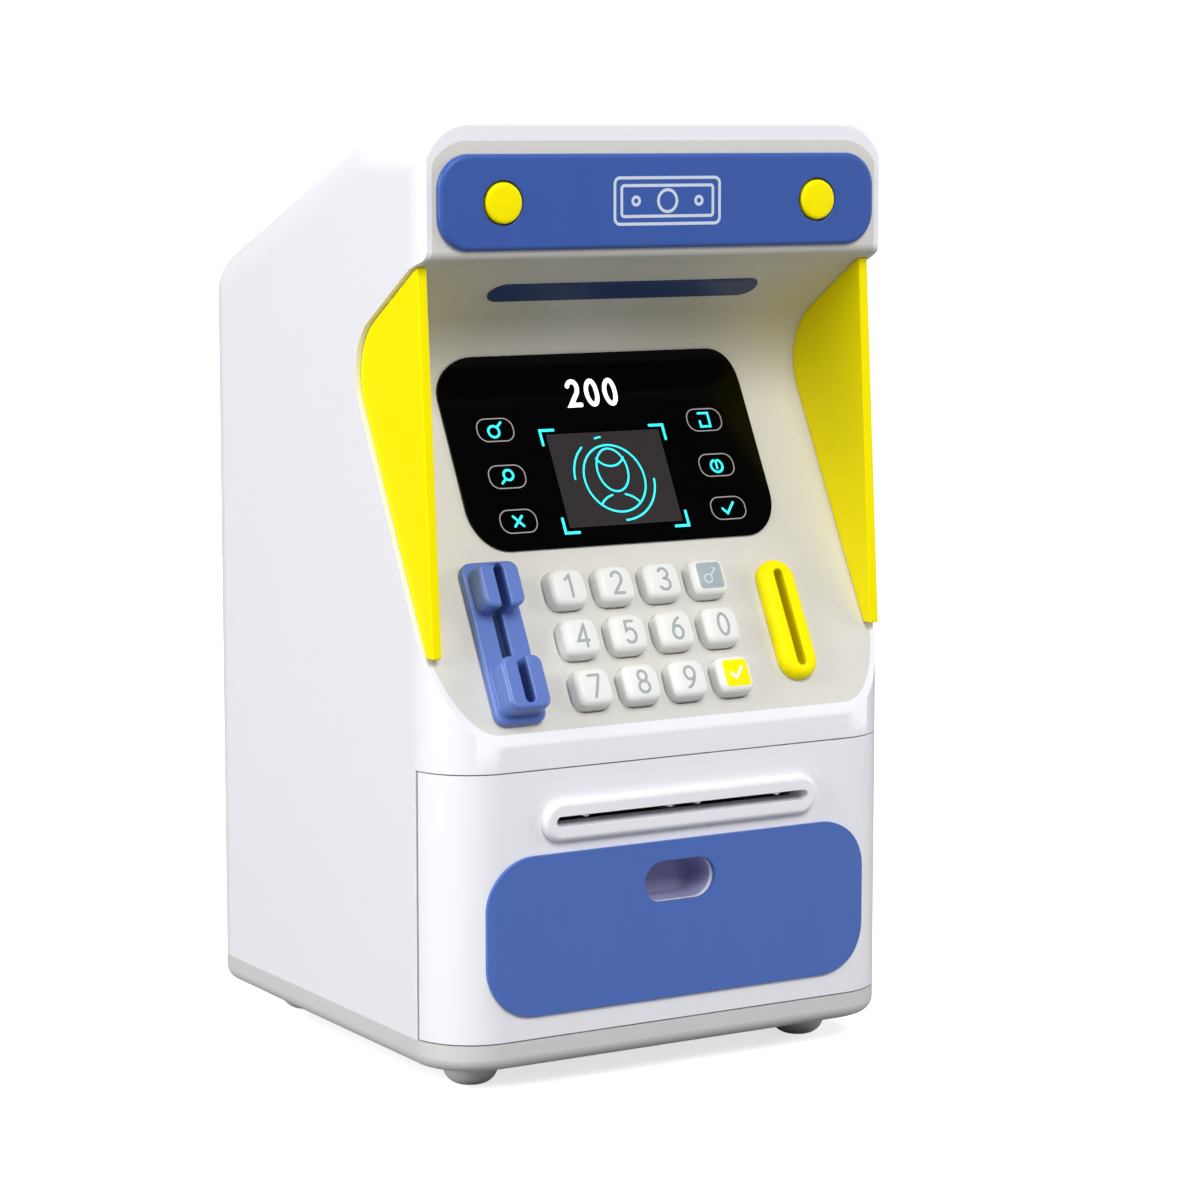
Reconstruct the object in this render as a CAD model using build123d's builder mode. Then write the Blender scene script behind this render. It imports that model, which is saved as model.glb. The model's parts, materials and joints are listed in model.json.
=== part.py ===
"""Toy cash machine that is a child's savings bank: a white cabinet with a sloped keypad panel,
a hinged money door, a sprung keypad and a motor that draws notes in. Millimetres, +Z up, front
towards -Y, origin at the middle of the footprint on the table."""

import math
import os

from build123d import *

os.makedirs("parts", exist_ok=True)

# Cabinet
WIDTH = 150.0
FRONT_Y = -72.5
BACK_Y = 76.9
HEIGHT = 266.0
WALL = 2.5
BASE_TOP = 15.8
TRAY_BOTTOM = 8.0
TRAY_FLOOR = 11.0
FRONT_RADIUS = 18.5
ROOF_RADIUS = 14.5
HALF = WIDTH / 2

# Side profile
SLOPE = math.radians(28)
SLOPE_FOOT_Z = 98.3
NOOK_RADIUS = 18.0
NOOK_DEEPEST_Y = -22.5
CANOPY = math.radians(32)
CANOPY_FRONT_Y = -54.0
HEADER_Y = -61.5
HEADER_FOOT_Z = 229.5
ROOF_BEND_Y = -22.8
ROOF_BACK_Z = 225.9
RIM = 1.5
FASCIA_BOTTOM = 99.5
FASCIA_TOP = 260.8
FASCIA_RADIUS = 12.5
FASCIA_BACK_Y = NOOK_DEEPEST_Y + WALL + 0.2

# Door
DOOR_TOP = 91.0
DOOR_GAP = 0.4
DOOR_BACK_Y = -56.5
HINGE_X = 70.5
HINGE_Y = -60.0
NOSE_RADIUS = 3.5
PIN_RADIUS = 1.5
PIN_PLAY = 0.05
BOLT_X = -56.0
BOLT_Y = -61.0
BOLT_RADIUS = 2.0
SLOT_Z = 76.3
FINGER_X = -0.5
FINGER_Z = 55.8

# Keypad, on the sloped panel: x, and the distance up the slope
KEY_COLUMNS = (-26.5, -11.1, 4.3, 19.7)
KEY_ROWS = (42.9, 28.1, 13.3)
KEY_NAMES = (
    ("key_1", "key_2", "key_3", "key_code"),
    ("key_4", "key_5", "key_6", "key_0"),
    ("key_7", "key_8", "key_9", "key_ok"),
)
KEY_WIDTH = 11.8
KEY_HEIGHT = 11.5
KEY_PROUD = 5.0
KEY_PLAY = 0.3
FLANGE_WIDER = 1.8
FLANGE_THICKNESS = 1.0

# Feed mechanism
ROLLER_Y = -56.0
ROLLER_RADIUS = 5.0
GEAR_MODULE = 0.8
GEAR_TEETH = 20
PINION_TEETH = 10
SCREW_RADIUS = 1.3

nook_y = NOOK_DEEPEST_Y - NOOK_RADIUS
slope_top = (
    nook_y + NOOK_RADIUS * math.cos(SLOPE),
    SLOPE_FOOT_Z + (nook_y + NOOK_RADIUS * math.cos(SLOPE) - FRONT_Y) / math.tan(SLOPE),
)
nook_z = slope_top[1] + NOOK_RADIUS * math.sin(SLOPE)
nook_end = (nook_y + NOOK_RADIUS * math.sin(CANOPY), nook_z + NOOK_RADIUS * math.cos(CANOPY))
nook_middle = (
    nook_y + NOOK_RADIUS * math.cos(math.radians(15)),
    nook_z + NOOK_RADIUS * math.sin(math.radians(15)),
)
canopy_front = (CANOPY_FRONT_Y, nook_end[1] + (nook_end[0] - CANOPY_FRONT_Y) * math.tan(CANOPY))

# The sloped panel and the canopy's underside, each with its outward normal
panel = Plane(
    origin=(0, FRONT_Y, SLOPE_FOOT_Z),
    x_dir=(1, 0, 0),
    z_dir=(0, -math.cos(SLOPE), math.sin(SLOPE)),
)
canopy = Plane(
    origin=(0, canopy_front[0], canopy_front[1]),
    x_dir=(1, 0, 0),
    z_dir=(0, -math.sin(CANOPY), -math.cos(CANOPY)),
)
front = Plane(origin=(0, 0, 0), x_dir=(1, 0, 0), z_dir=(0, -1, 0))


def save(builder, name):
    """Labels a finished piece and writes its STEP file."""
    builder.part.label = name
    export_step(builder.part, f"parts/{name}.step")


def side_outline(inset):
    """The cabinet's side profile, moved in by inset, as a face in the YZ plane."""
    with BuildSketch(Plane.YZ) as outline:
        with BuildLine():
            Polyline((BACK_Y, 0), (FRONT_Y, 0), (FRONT_Y, SLOPE_FOOT_Z), slope_top)
            ThreePointArc(slope_top, nook_middle, nook_end)
            Polyline(
                nook_end,
                canopy_front,
                (HEADER_Y, HEADER_FOOT_Z),
                (HEADER_Y, HEIGHT),
                (ROOF_BEND_Y, HEIGHT),
                (BACK_Y, ROOF_BACK_Z),
                (BACK_Y, 0),
            )
        make_face()
        corners = (
            ((FRONT_Y, SLOPE_FOOT_Z), 3.0),
            (canopy_front, 5.0),
            ((HEADER_Y, HEADER_FOOT_Z), 3.0),
            ((ROOF_BEND_Y, HEIGHT), 22.0),
            ((BACK_Y, ROOF_BACK_Z), 15.0),
        )
        for point, radius in corners:
            fillet(outline.vertices().sort_by_distance(point)[0], radius)
        if inset:
            offset(amount=-inset)
    return outline.sketch


def plan_block(inset, low, high, front_y=-200.0, back_y=200.0):
    """The cabinet's plan, moved in by inset, from low to high and between two Y values."""
    with BuildPart() as block:
        with BuildSketch(Plane.XY.offset(low)) as plan:
            with Locations((0, (FRONT_Y + BACK_Y) / 2)):
                Rectangle(WIDTH - 2 * inset, BACK_Y - FRONT_Y - 2 * inset)
            fillet(plan.vertices().group_by(Axis.Y)[0], FRONT_RADIUS - inset)
            fillet(plan.vertices().group_by(Axis.Y)[-1], ROOF_RADIUS - inset)
            with BuildSketch(mode=Mode.INTERSECT):
                with Locations((0, (front_y + back_y) / 2)):
                    Rectangle(2 * WIDTH, back_y - front_y)
        extrude(amount=high - low)
    return block.part


def front_block(width, low, high, radius, deep, near=-90.0):
    """A block seen from the front as a rounded rectangle, from Y near to Y deep."""
    with BuildPart() as block:
        with BuildSketch(front.offset(-deep)):
            with Locations((0, (low + high) / 2)):
                RectangleRounded(width, high - low, radius)
        extrude(amount=deep - near)
    return block.part


def cabinet_solid(inset):
    """The whole closed cabinet shape, moved in by inset."""
    profile = side_outline(inset)
    with BuildPart() as solid:
        extrude(profile, amount=HALF - inset, both=True)
        sides = solid.edges().filter_by(lambda e: abs(abs(e.center().X) - HALF + inset) < 0.01)
        roof = sides.filter_by(lambda e: e.center().Z + e.center().Y / 2 > 235 - 3 * inset)
        rear = sides.filter_by(lambda e: e.center().Y > BACK_Y - inset - 0.1)
        fillet(ShapeList(set(roof + rear)), ROOF_RADIUS - inset)
        add(plan_block(inset, 0, HEIGHT), mode=Mode.INTERSECT)
    return solid.part


def band(outer, inner, half_width):
    """The layer between two insets of the side profile, across the cabinet."""
    with BuildPart() as layer:
        extrude(side_outline(outer), amount=half_width, both=True)
        extrude(side_outline(inner), amount=half_width, both=True, mode=Mode.SUBTRACT)
    return layer.part


outer_solid = cabinet_solid(0)
inner_solid = cabinet_solid(WALL)

# Fascia: one grey moulding from the keypad slope through the nook and canopy to the header
with BuildPart() as fascia_blank:
    add(band(0, WALL, HALF - RIM))
    add(
        front_block(WIDTH - 2 * RIM, FASCIA_BOTTOM - 30, FASCIA_TOP, FASCIA_RADIUS, FASCIA_BACK_Y),
        mode=Mode.INTERSECT,
    )
    add(plan_block(RIM, FASCIA_BOTTOM, FASCIA_TOP), mode=Mode.INTERSECT)

# Screen window: bent with the nook
SCREEN_WIDTH = 101.0
SCREEN_LOW = 147.8
SCREEN_HIGH = 200.4
DISPLAY_T = 76.0
with BuildPart() as screen_lens:
    add(band(-0.6, RIM, SCREEN_WIDTH))
    add(
        front_block(SCREEN_WIDTH, SCREEN_LOW, SCREEN_HIGH, 11.5, FASCIA_BACK_Y),
        mode=Mode.INTERSECT,
    )
save(screen_lens, "screen_lens")

# Coin slot bezel
COIN_X = 43.4
COIN_T = 29.0
COIN_TONGUE = (33.0, 6.0)
with BuildPart() as coin_slot:
    with BuildSketch(panel):
        with Locations((COIN_X, COIN_T)):
            SlotOverall(36.2, 11.8, rotation=90)
    extrude(amount=4.0)
    fillet(coin_slot.faces().sort_by(Axis((0, 0, 0), panel.z_dir))[-1].edges(), 2.4)
    with BuildSketch(panel.offset(-WALL)):
        with Locations((COIN_X, COIN_T)):
            SlotOverall(*COIN_TONGUE, rotation=90)
    extrude(amount=WALL)
    with BuildSketch(panel.offset(-WALL)):
        with Locations((COIN_X, COIN_T)):
            SlotOverall(29.5, 3.0, rotation=90)
    extrude(amount=10, mode=Mode.SUBTRACT)
save(coin_slot, "coin_slot")

# Card reader: a base plate with two tall blocks that a card is swiped through
READER_X = -50.0
READER_T = 29.0
READER_LENGTH = 47.4
READER_WIDTH = 15.6
READER_PLATE = 2.5
READER_PROUD = 9.3
READER_TONGUE = (5.0, 42.0)
READER_BLOCK_WIDTH = 12.8
# Each block's centre up the slope, and its length
READER_BLOCKS = ((43.7, 13.2), (15.0, 15.6))
with BuildPart() as card_reader:
    with BuildSketch(panel):
        with Locations((READER_X, READER_T)):
            RectangleRounded(READER_WIDTH, READER_LENGTH, 3.5)
    extrude(amount=READER_PLATE)
    fillet(card_reader.faces().sort_by(Axis((0, 0, 0), panel.z_dir))[-1].edges(), 0.8)
    with BuildSketch(panel.offset(READER_PLATE - 1)):
        for t, length in READER_BLOCKS:
            with Locations((READER_X, t)):
                RectangleRounded(READER_BLOCK_WIDTH, length, 3.0)
    extrude(amount=READER_PROUD - READER_PLATE + 1)
    fillet(card_reader.faces().group_by(Axis((0, 0, 0), panel.z_dir))[-1].edges(), 1.2)
    with BuildSketch(panel.offset(-WALL)):
        with Locations((READER_X, READER_T)):
            Rectangle(*READER_TONGUE)
    extrude(amount=WALL)
    with BuildSketch(panel.offset(-WALL)):
        with Locations((READER_X, READER_T)):
            SlotOverall(40.0, 3.0, rotation=90)
    extrude(amount=20, mode=Mode.SUBTRACT)
save(card_reader, "card_reader")

# Canopy light
LIGHT_LENGTH = 88.0
LIGHT_WIDTH = 9.2
LIGHT_BACK = 13.7
with BuildPart() as light_bar:
    with BuildSketch(canopy.offset(-RIM)):
        with Locations((0, -LIGHT_BACK)):
            SlotOverall(LIGHT_LENGTH, LIGHT_WIDTH)
    extrude(amount=RIM + 0.5)
save(light_bar, "light_bar")

with BuildPart() as fascia:
    add(fascia_blank.part)
    add(screen_lens.part, mode=Mode.SUBTRACT)
    add(light_bar.part, mode=Mode.SUBTRACT)
    with BuildSketch(panel.offset(-5)):
        with Locations((0, DISPLAY_T)):
            Rectangle(52, 34)
        with Locations((COIN_X, COIN_T)):
            SlotOverall(*COIN_TONGUE, rotation=90)
        with Locations((READER_X, READER_T)):
            Rectangle(*READER_TONGUE)
        for t in KEY_ROWS:
            for x in KEY_COLUMNS:
                with Locations((x, t)):
                    RectangleRounded(KEY_WIDTH + 2 * KEY_PLAY, KEY_HEIGHT + 2 * KEY_PLAY, 4.2)
    extrude(amount=5, mode=Mode.SUBTRACT)
save(fascia, "fascia")

# Keys: each cap has a flange behind the fascia that keeps it in
for t, names in zip(KEY_ROWS, KEY_NAMES):
    for x, name in zip(KEY_COLUMNS, names):
        with BuildPart() as key:
            with BuildSketch(panel.offset(-WALL - KEY_PLAY)):
                with Locations((x, t)):
                    RectangleRounded(KEY_WIDTH, KEY_HEIGHT, 3.9)
            extrude(amount=WALL + KEY_PLAY + KEY_PROUD)
            fillet(key.faces().sort_by(Axis((0, 0, 0), panel.z_dir))[-1].edges(), 1.6)
            with BuildSketch(panel.offset(-WALL - KEY_PLAY - FLANGE_THICKNESS)):
                with Locations((x, t)):
                    RectangleRounded(KEY_WIDTH + FLANGE_WIDER, KEY_HEIGHT + FLANGE_WIDER, 4.5)
            extrude(amount=FLANGE_THICKNESS)
        save(key, name)

KEYPAD_X = sum(KEY_COLUMNS) / 4
KEYPAD_T = KEY_ROWS[1]
with BuildPart() as keypad_membrane:
    with BuildSketch(panel.offset(-WALL - 5.2)):
        with Locations((KEYPAD_X, KEYPAD_T)):
            RectangleRounded(62, 46, 2)
    extrude(amount=1.2)
    with BuildSketch(panel.offset(-WALL - 4.0)):
        for t in KEY_ROWS:
            for x in KEY_COLUMNS:
                with Locations((x, t)):
                    Circle(3.2)
    extrude(amount=0.6, taper=40)
save(keypad_membrane, "keypad_membrane")

with BuildPart() as keypad_board:
    with BuildSketch(panel.offset(-WALL - 6.8)):
        with Locations((KEYPAD_X, KEYPAD_T)):
            RectangleRounded(66, 50, 2)
        with Locations((KEYPAD_X, KEYPAD_T)):
            with GridLocations(60, 44, 2, 2):
                Circle(SCREW_RADIUS, mode=Mode.SUBTRACT)
    extrude(amount=1.6)
save(keypad_board, "keypad_board")

with BuildPart() as card_switch:
    with BuildSketch(panel.offset(-12)):
        with Locations((READER_X - 3.5, READER_T + 3)):
            Rectangle(3.0, 20)
    extrude(amount=12 - WALL)
    with BuildSketch(panel.offset(-8)):
        with Locations((READER_X - 1.3, READER_T + 3)):
            Rectangle(1.6, 4)
    extrude(amount=3)
save(card_switch, "card_switch")

with BuildPart() as display_module:
    with BuildSketch(panel.offset(-WALL - 6)):
        with Locations((0, DISPLAY_T)):
            Rectangle(58, 40)
    extrude(amount=6)
    with BuildSketch(panel.offset(-WALL)):
        with Locations((0, DISPLAY_T)):
            Rectangle(50, 32)
    extrude(amount=0.6)
save(display_module, "display_module")

# Header: a blue panel with two yellow lamps
HEADER_LOW = 231.4
HEADER_HIGH = 257.3
HEADER_WIDTH = 141.0
HEADER_RADIUS = 9.4
HEADER_PROUD = 1.8
LAMP_X = 50.9
LAMP_Z = 244.2
LAMP_RADIUS = 6.0
LAMP_DEPTH = 4.5
with BuildPart() as header_panel:
    add(
        front_block(HEADER_WIDTH, HEADER_LOW, HEADER_HIGH, HEADER_RADIUS, HEADER_Y, HEADER_Y - HEADER_PROUD)
    )
    fillet(header_panel.faces().sort_by(Axis.Y)[0].edges(), 1.4)
    with BuildSketch(front.offset(-HEADER_Y)):
        with Locations((-LAMP_X, LAMP_Z), (LAMP_X, LAMP_Z)):
            Circle(LAMP_RADIUS + 0.1)
    extrude(amount=10, mode=Mode.SUBTRACT)
save(header_panel, "header_panel")

for x, name in ((-LAMP_X, "header_lamp_left"), (LAMP_X, "header_lamp_right")):
    with BuildPart() as lamp:
        with BuildSketch(front.offset(-HEADER_Y)):
            with Locations((x, LAMP_Z)):
                Circle(LAMP_RADIUS)
        extrude(amount=LAMP_DEPTH)
        fillet(lamp.faces().sort_by(Axis.Y)[0].edges(), 1.9)
    save(lamp, name)

# Side shields: thin plates between the recess and a straight front edge
SHIELD_TOP = (-56.0, 229.0)
SHIELD_TIP = (-63.5, 122.0)
SHIELD_THICKNESS = 3.0
with BuildSketch(Plane.YZ) as shield_outline:
    with BuildLine():
        Polyline(SHIELD_TOP, SHIELD_TIP, (-40, SHIELD_TIP[1]), (0, 190), (0, 229), SHIELD_TOP)
    make_face()
    add(Plane.YZ.to_local_coords(side_outline(0)), mode=Mode.SUBTRACT)
for low_x, name in ((RIM - HALF, "side_shield_left"), (HALF - RIM - SHIELD_THICKNESS, "side_shield_right")):
    with BuildPart() as shield:
        extrude(shield_outline.sketch.moved(Location((low_x, 0, 0))), amount=SHIELD_THICKNESS)
    save(shield, name)

# Main shell
REAR_WIDTH = 116.0
REAR_LOW = 26.0
REAR_HIGH = 205.0
REAR_SCREWS = [(x, z) for x in (-52.0, 52.0) for z in (33.0, 198.0)]
TRAY_SCREWS = [(x, y) for x in (-69.4, 69.4) for y in (-50.0, 45.0)]
with BuildPart() as main_shell:
    add(outer_solid)
    add(inner_solid, mode=Mode.SUBTRACT)
    add(fascia_blank.part, mode=Mode.SUBTRACT)
    add(plan_block(-5, 0, BASE_TOP), mode=Mode.SUBTRACT)
    add(plan_block(-5, 0, DOOR_TOP, -100, DOOR_BACK_Y + 0.5), mode=Mode.SUBTRACT)
    add(front_block(REAR_WIDTH + 8, REAR_LOW - 4, REAR_HIGH + 4, 9, BACK_Y - 1, BACK_Y - 5))
    add(
        front_block(REAR_WIDTH - 6, REAR_LOW + 3, REAR_HIGH - 3, 4, BACK_Y, BACK_Y - 10),
        mode=Mode.SUBTRACT,
    )
    add(
        front_block(REAR_WIDTH + 0.4, REAR_LOW - 0.2, REAR_HIGH + 0.2, 7, BACK_Y, BACK_Y - WALL),
        mode=Mode.SUBTRACT,
    )
    # Ledge over the door, which holds the upper hinge pin
    add(plan_block(1, DOOR_TOP, DOOR_TOP + 2.5, -100, -50.5))
    with BuildSketch(Plane.XY.offset(DOOR_TOP)):
        with Locations((HINGE_X, HINGE_Y)):
            Circle(PIN_RADIUS)
        with Locations((BOLT_X, BOLT_Y)):
            Circle(BOLT_RADIUS + 0.3)
    extrude(amount=3, mode=Mode.SUBTRACT)
    # Screw blocks for the base tray
    with BuildSketch(Plane.XY.offset(BASE_TOP)):
        with Locations(*TRAY_SCREWS):
            Rectangle(6.6, 10)
    extrude(amount=12)
    with BuildSketch(Plane.XY.offset(BASE_TOP)):
        with Locations(*TRAY_SCREWS):
            Circle(SCREW_RADIUS)
    extrude(amount=9, mode=Mode.SUBTRACT)
    with BuildSketch(front.offset(-BACK_Y)):
        with Locations(*REAR_SCREWS):
            Circle(SCREW_RADIUS)
    extrude(amount=9, mode=Mode.SUBTRACT)
save(main_shell, "main_shell")

# Rear cover with a sound grille, four screw seats and the main board's posts
SPEAKER_Z = 62.0
BOARD_Y = 50.0
BOARD_SCREWS = [(x, z) for x in (-35.0, 35.0) for z in (105.0, 175.0)]
SWITCH_X = 38.0
SWITCH_Z = 42.0
with BuildPart() as rear_cover:
    add(front_block(REAR_WIDTH, REAR_LOW, REAR_HIGH, 6.8, BACK_Y, BACK_Y - WALL))
    with BuildSketch(front.offset(-BACK_Y + WALL)):
        with Locations(*BOARD_SCREWS):
            Circle(3.0)
    extrude(amount=BACK_Y - WALL - BOARD_Y)
    with BuildSketch(front.offset(-BACK_Y)):
        with Locations((0, SPEAKER_Z)):
            Circle(1.3)
            for count in (6, 12, 18):
                with PolarLocations(count * 0.75 + 0.5, count):
                    Circle(1.3)
        with Locations((SWITCH_X, SWITCH_Z)):
            Rectangle(10, 4.4)
        with Locations(*REAR_SCREWS):
            Circle(SCREW_RADIUS)
    extrude(amount=WALL, mode=Mode.SUBTRACT)
    with BuildSketch(front.offset(-BACK_Y)):
        with Locations(*REAR_SCREWS):
            Circle(2.7)
    extrude(amount=1.5, mode=Mode.SUBTRACT)
save(rear_cover, "rear_cover")

# Base tray
BATTERY_Y = 36.0
FEET = {
    "foot_front_left": (-55, -50),
    "foot_front_right": (55, -50),
    "foot_rear_left": (-55, 52),
    "foot_rear_right": (55, 52),
}
with BuildPart() as base_tray:
    add(plan_block(0, TRAY_BOTTOM, BASE_TOP))
    fillet(base_tray.faces().sort_by(Axis.Z)[0].edges(), 4.0)
    add(plan_block(WALL, TRAY_FLOOR, BASE_TOP), mode=Mode.SUBTRACT)
    with BuildSketch(Plane.XY.offset(TRAY_FLOOR)):
        with Locations(*TRAY_SCREWS):
            Rectangle(8, 10)
        with Locations((HINGE_X, HINGE_Y)):
            Circle(3.2)
    extrude(amount=BASE_TOP - TRAY_FLOOR)
    with BuildSketch(Plane.XY.offset(TRAY_BOTTOM)):
        with Locations(*TRAY_SCREWS):
            Circle(SCREW_RADIUS)
        with Locations((0, BATTERY_Y)):
            Rectangle(57.4, 52.4)
    extrude(amount=20, mode=Mode.SUBTRACT)
    with BuildSketch(Plane.XY.offset(TRAY_BOTTOM)):
        with Locations((0, BATTERY_Y)):
            Rectangle(62, 57)
        with Locations(*FEET.values()):
            Circle(4)
        with Locations(*TRAY_SCREWS):
            Circle(2.7)
    extrude(amount=1.8, mode=Mode.SUBTRACT)
    with BuildSketch(Plane.XY.offset(TRAY_FLOOR)):
        with Locations((HINGE_X, HINGE_Y)):
            Circle(PIN_RADIUS)
    extrude(amount=10, mode=Mode.SUBTRACT)
save(base_tray, "base_tray")

for name, place in FEET.items():
    with BuildPart() as foot:
        with BuildSketch():
            with Locations(place):
                Circle(7.75)
        extrude(amount=TRAY_BOTTOM)
        fillet(foot.faces().sort_by(Axis.Z)[0].edges(), 5.0)
        with BuildSketch(Plane.XY.offset(TRAY_BOTTOM)):
            with Locations(place):
                Circle(4)
        extrude(amount=1.8)
    save(foot, name)

# Door: a wrapped front panel with a round hinge edge on the right
FINGER_SIZE = (23.3, 11.7)
door_low = BASE_TOP + DOOR_GAP
door_high = DOOR_TOP - DOOR_GAP
PANEL_LOW = 22.6
PANEL_HIGH = 67.3
BILL_HALF = 41.4
with BuildPart() as door_panel:
    add(front_block(124, PANEL_LOW, PANEL_HIGH, 14.5, -60))
    add(plan_block(-0.9, 0, DOOR_TOP), mode=Mode.INTERSECT)
    add(plan_block(1.0, 0, DOOR_TOP), mode=Mode.SUBTRACT)
    with BuildSketch(front.offset(60)):
        with Locations((FINGER_X, FINGER_Z)):
            SlotOverall(*FINGER_SIZE)
    extrude(amount=30, mode=Mode.SUBTRACT)
save(door_panel, "door_panel")

with BuildPart() as door:
    add(plan_block(0, door_low, door_high, -100, DOOR_BACK_Y - 0.4))
    add(plan_block(WALL, 0, DOOR_TOP), mode=Mode.SUBTRACT)
    with BuildSketch(Plane.XY.offset(door_low)):
        with Locations((HINGE_X, HINGE_Y + 5)):
            Rectangle(10, 10)
    extrude(amount=DOOR_TOP, mode=Mode.SUBTRACT)
    with BuildSketch(Plane.XY.offset(door_low)):
        with Locations((HINGE_X, HINGE_Y)):
            Circle(NOSE_RADIUS)
    extrude(amount=door_high - door_low)
    with BuildSketch(Plane.XY.offset(door_low)):
        with Locations((HINGE_X, HINGE_Y)):
            Circle(PIN_RADIUS + PIN_PLAY)
    extrude(amount=DOOR_TOP, mode=Mode.SUBTRACT)
    add(door_panel.part, mode=Mode.SUBTRACT)
    with BuildSketch(front.offset(60)):
        with Locations((FINGER_X, FINGER_Z)):
            SlotOverall(*FINGER_SIZE)
        with Locations((0, SLOT_Z)):
            SlotOverall(2 * BILL_HALF + 2.4, 5.4)
    extrude(amount=30, mode=Mode.SUBTRACT)
save(door, "door")

# Catch inside the door: a staple with an arm on each side of the bolt and a bar behind it
CATCH_LOW = 83.5
CATCH_THICKNESS = 3.0
CATCH_INSIDE = BOLT_RADIUS + 0.6
CATCH_BACK_Y = -57.0
with BuildPart() as door_catch:
    with BuildSketch(Plane.XY.offset(CATCH_LOW)):
        with Locations((BOLT_X, CATCH_BACK_Y - 9)):
            Rectangle(2 * CATCH_INSIDE + 4, 18)
        with Locations((BOLT_X, BOLT_Y + CATCH_INSIDE - 9)):
            Rectangle(2 * CATCH_INSIDE, 18, mode=Mode.SUBTRACT)
    extrude(amount=CATCH_THICKNESS)
    add(plan_block(WALL, 0, DOOR_TOP), mode=Mode.INTERSECT)
save(door_catch, "door_catch")

CUP_BACK_Y = -58.5
with BuildPart() as finger_cup:
    with BuildSketch(front.offset(-CUP_BACK_Y)):
        with Locations((FINGER_X, FINGER_Z)):
            SlotOverall(FINGER_SIZE[0] + 3.0, FINGER_SIZE[1] + 3.0)
    extrude(amount=FRONT_Y * -1 - WALL + CUP_BACK_Y)
    with BuildSketch(front.offset(-CUP_BACK_Y + 1.2)):
        with Locations((FINGER_X, FINGER_Z)):
            SlotOverall(*FINGER_SIZE)
    extrude(amount=30, mode=Mode.SUBTRACT)
save(finger_cup, "finger_cup")

with BuildPart() as bill_bezel:
    with BuildSketch(front.offset(-FRONT_Y)):
        with Locations((0, SLOT_Z)):
            SlotOverall(90, 11.5)
    extrude(amount=WALL)
    fillet(bill_bezel.faces().sort_by(Axis.Y)[0].edges(), 1.8)
    with BuildSketch(front.offset(66)):
        with Locations((0, SLOT_Z)):
            SlotOverall(2 * BILL_HALF + 2.4, 5.4)
    extrude(amount=-FRONT_Y - 66)
    with BuildSketch(front.offset(60)):
        with Locations((0, SLOT_Z)):
            SlotOverall(2 * BILL_HALF, 2.9)
    extrude(amount=30, mode=Mode.SUBTRACT)
    with BuildSketch(front.offset(66)):
        for share in (0.12, 0.45, 0.56, 0.88):
            with Locations(((2 * share - 1) * BILL_HALF, SLOT_Z + 1.6)):
                Circle(1.0)
    extrude(amount=8)
save(bill_bezel, "bill_bezel")

with BuildPart() as hinge_pins:
    for low, high in ((TRAY_FLOOR, 26.0), (82.0, DOOR_TOP + 2.5)):
        with BuildSketch(Plane.XY.offset(low)):
            with Locations((HINGE_X, HINGE_Y)):
                Circle(PIN_RADIUS)
        extrude(amount=high - low)
save(hinge_pins, "hinge_pins")

# Lock over the door: the bolt drops through the ledge into the door's catch
with BuildPart() as lock_body:
    with BuildSketch(Plane.XY.offset(DOOR_TOP + 2.5)):
        with Locations((BOLT_X, BOLT_Y)):
            RectangleRounded(13, 10, 1)
            Circle(BOLT_RADIUS + PIN_PLAY, mode=Mode.SUBTRACT)
    extrude(amount=8)
save(lock_body, "lock_body")
with BuildPart() as lock_bolt:
    with BuildSketch(Plane.XY.offset(CATCH_LOW + CATCH_THICKNESS + 1.0)):
        with Locations((BOLT_X, BOLT_Y)):
            Circle(BOLT_RADIUS)
    extrude(amount=13)
    chamfer(lock_bolt.faces().sort_by(Axis.Z)[0].edges(), 0.6)
save(lock_bolt, "lock_bolt")

# Money compartment
BIN_HALF = 66.0
BIN_BACK_Y = 5.0
BIN_FRONT_Y = -55.5
BIN_TOP = 87.5
with BuildPart() as money_bin:
    with BuildSketch(Plane.XY.offset(BASE_TOP + 0.4)):
        with Locations((0, (BIN_FRONT_Y + BIN_BACK_Y) / 2)):
            Rectangle(2 * BIN_HALF, BIN_BACK_Y - BIN_FRONT_Y)
    extrude(amount=BIN_TOP - BASE_TOP - 0.4)
    with BuildSketch(Plane.XY.offset(BASE_TOP + 1.9)):
        with Locations((0, (BIN_FRONT_Y + BIN_BACK_Y) / 2 - 1.5)):
            Rectangle(2 * BIN_HALF - 3, BIN_BACK_Y - BIN_FRONT_Y)
    extrude(amount=BIN_TOP - BASE_TOP - 3.4, mode=Mode.SUBTRACT)
    with BuildSketch(Plane.XY.offset(BIN_TOP - 5)):
        with Locations((COIN_X, -35.5)):
            Rectangle(4.4, 27)
    extrude(amount=8, mode=Mode.SUBTRACT)
save(money_bin, "money_bin")

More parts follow.
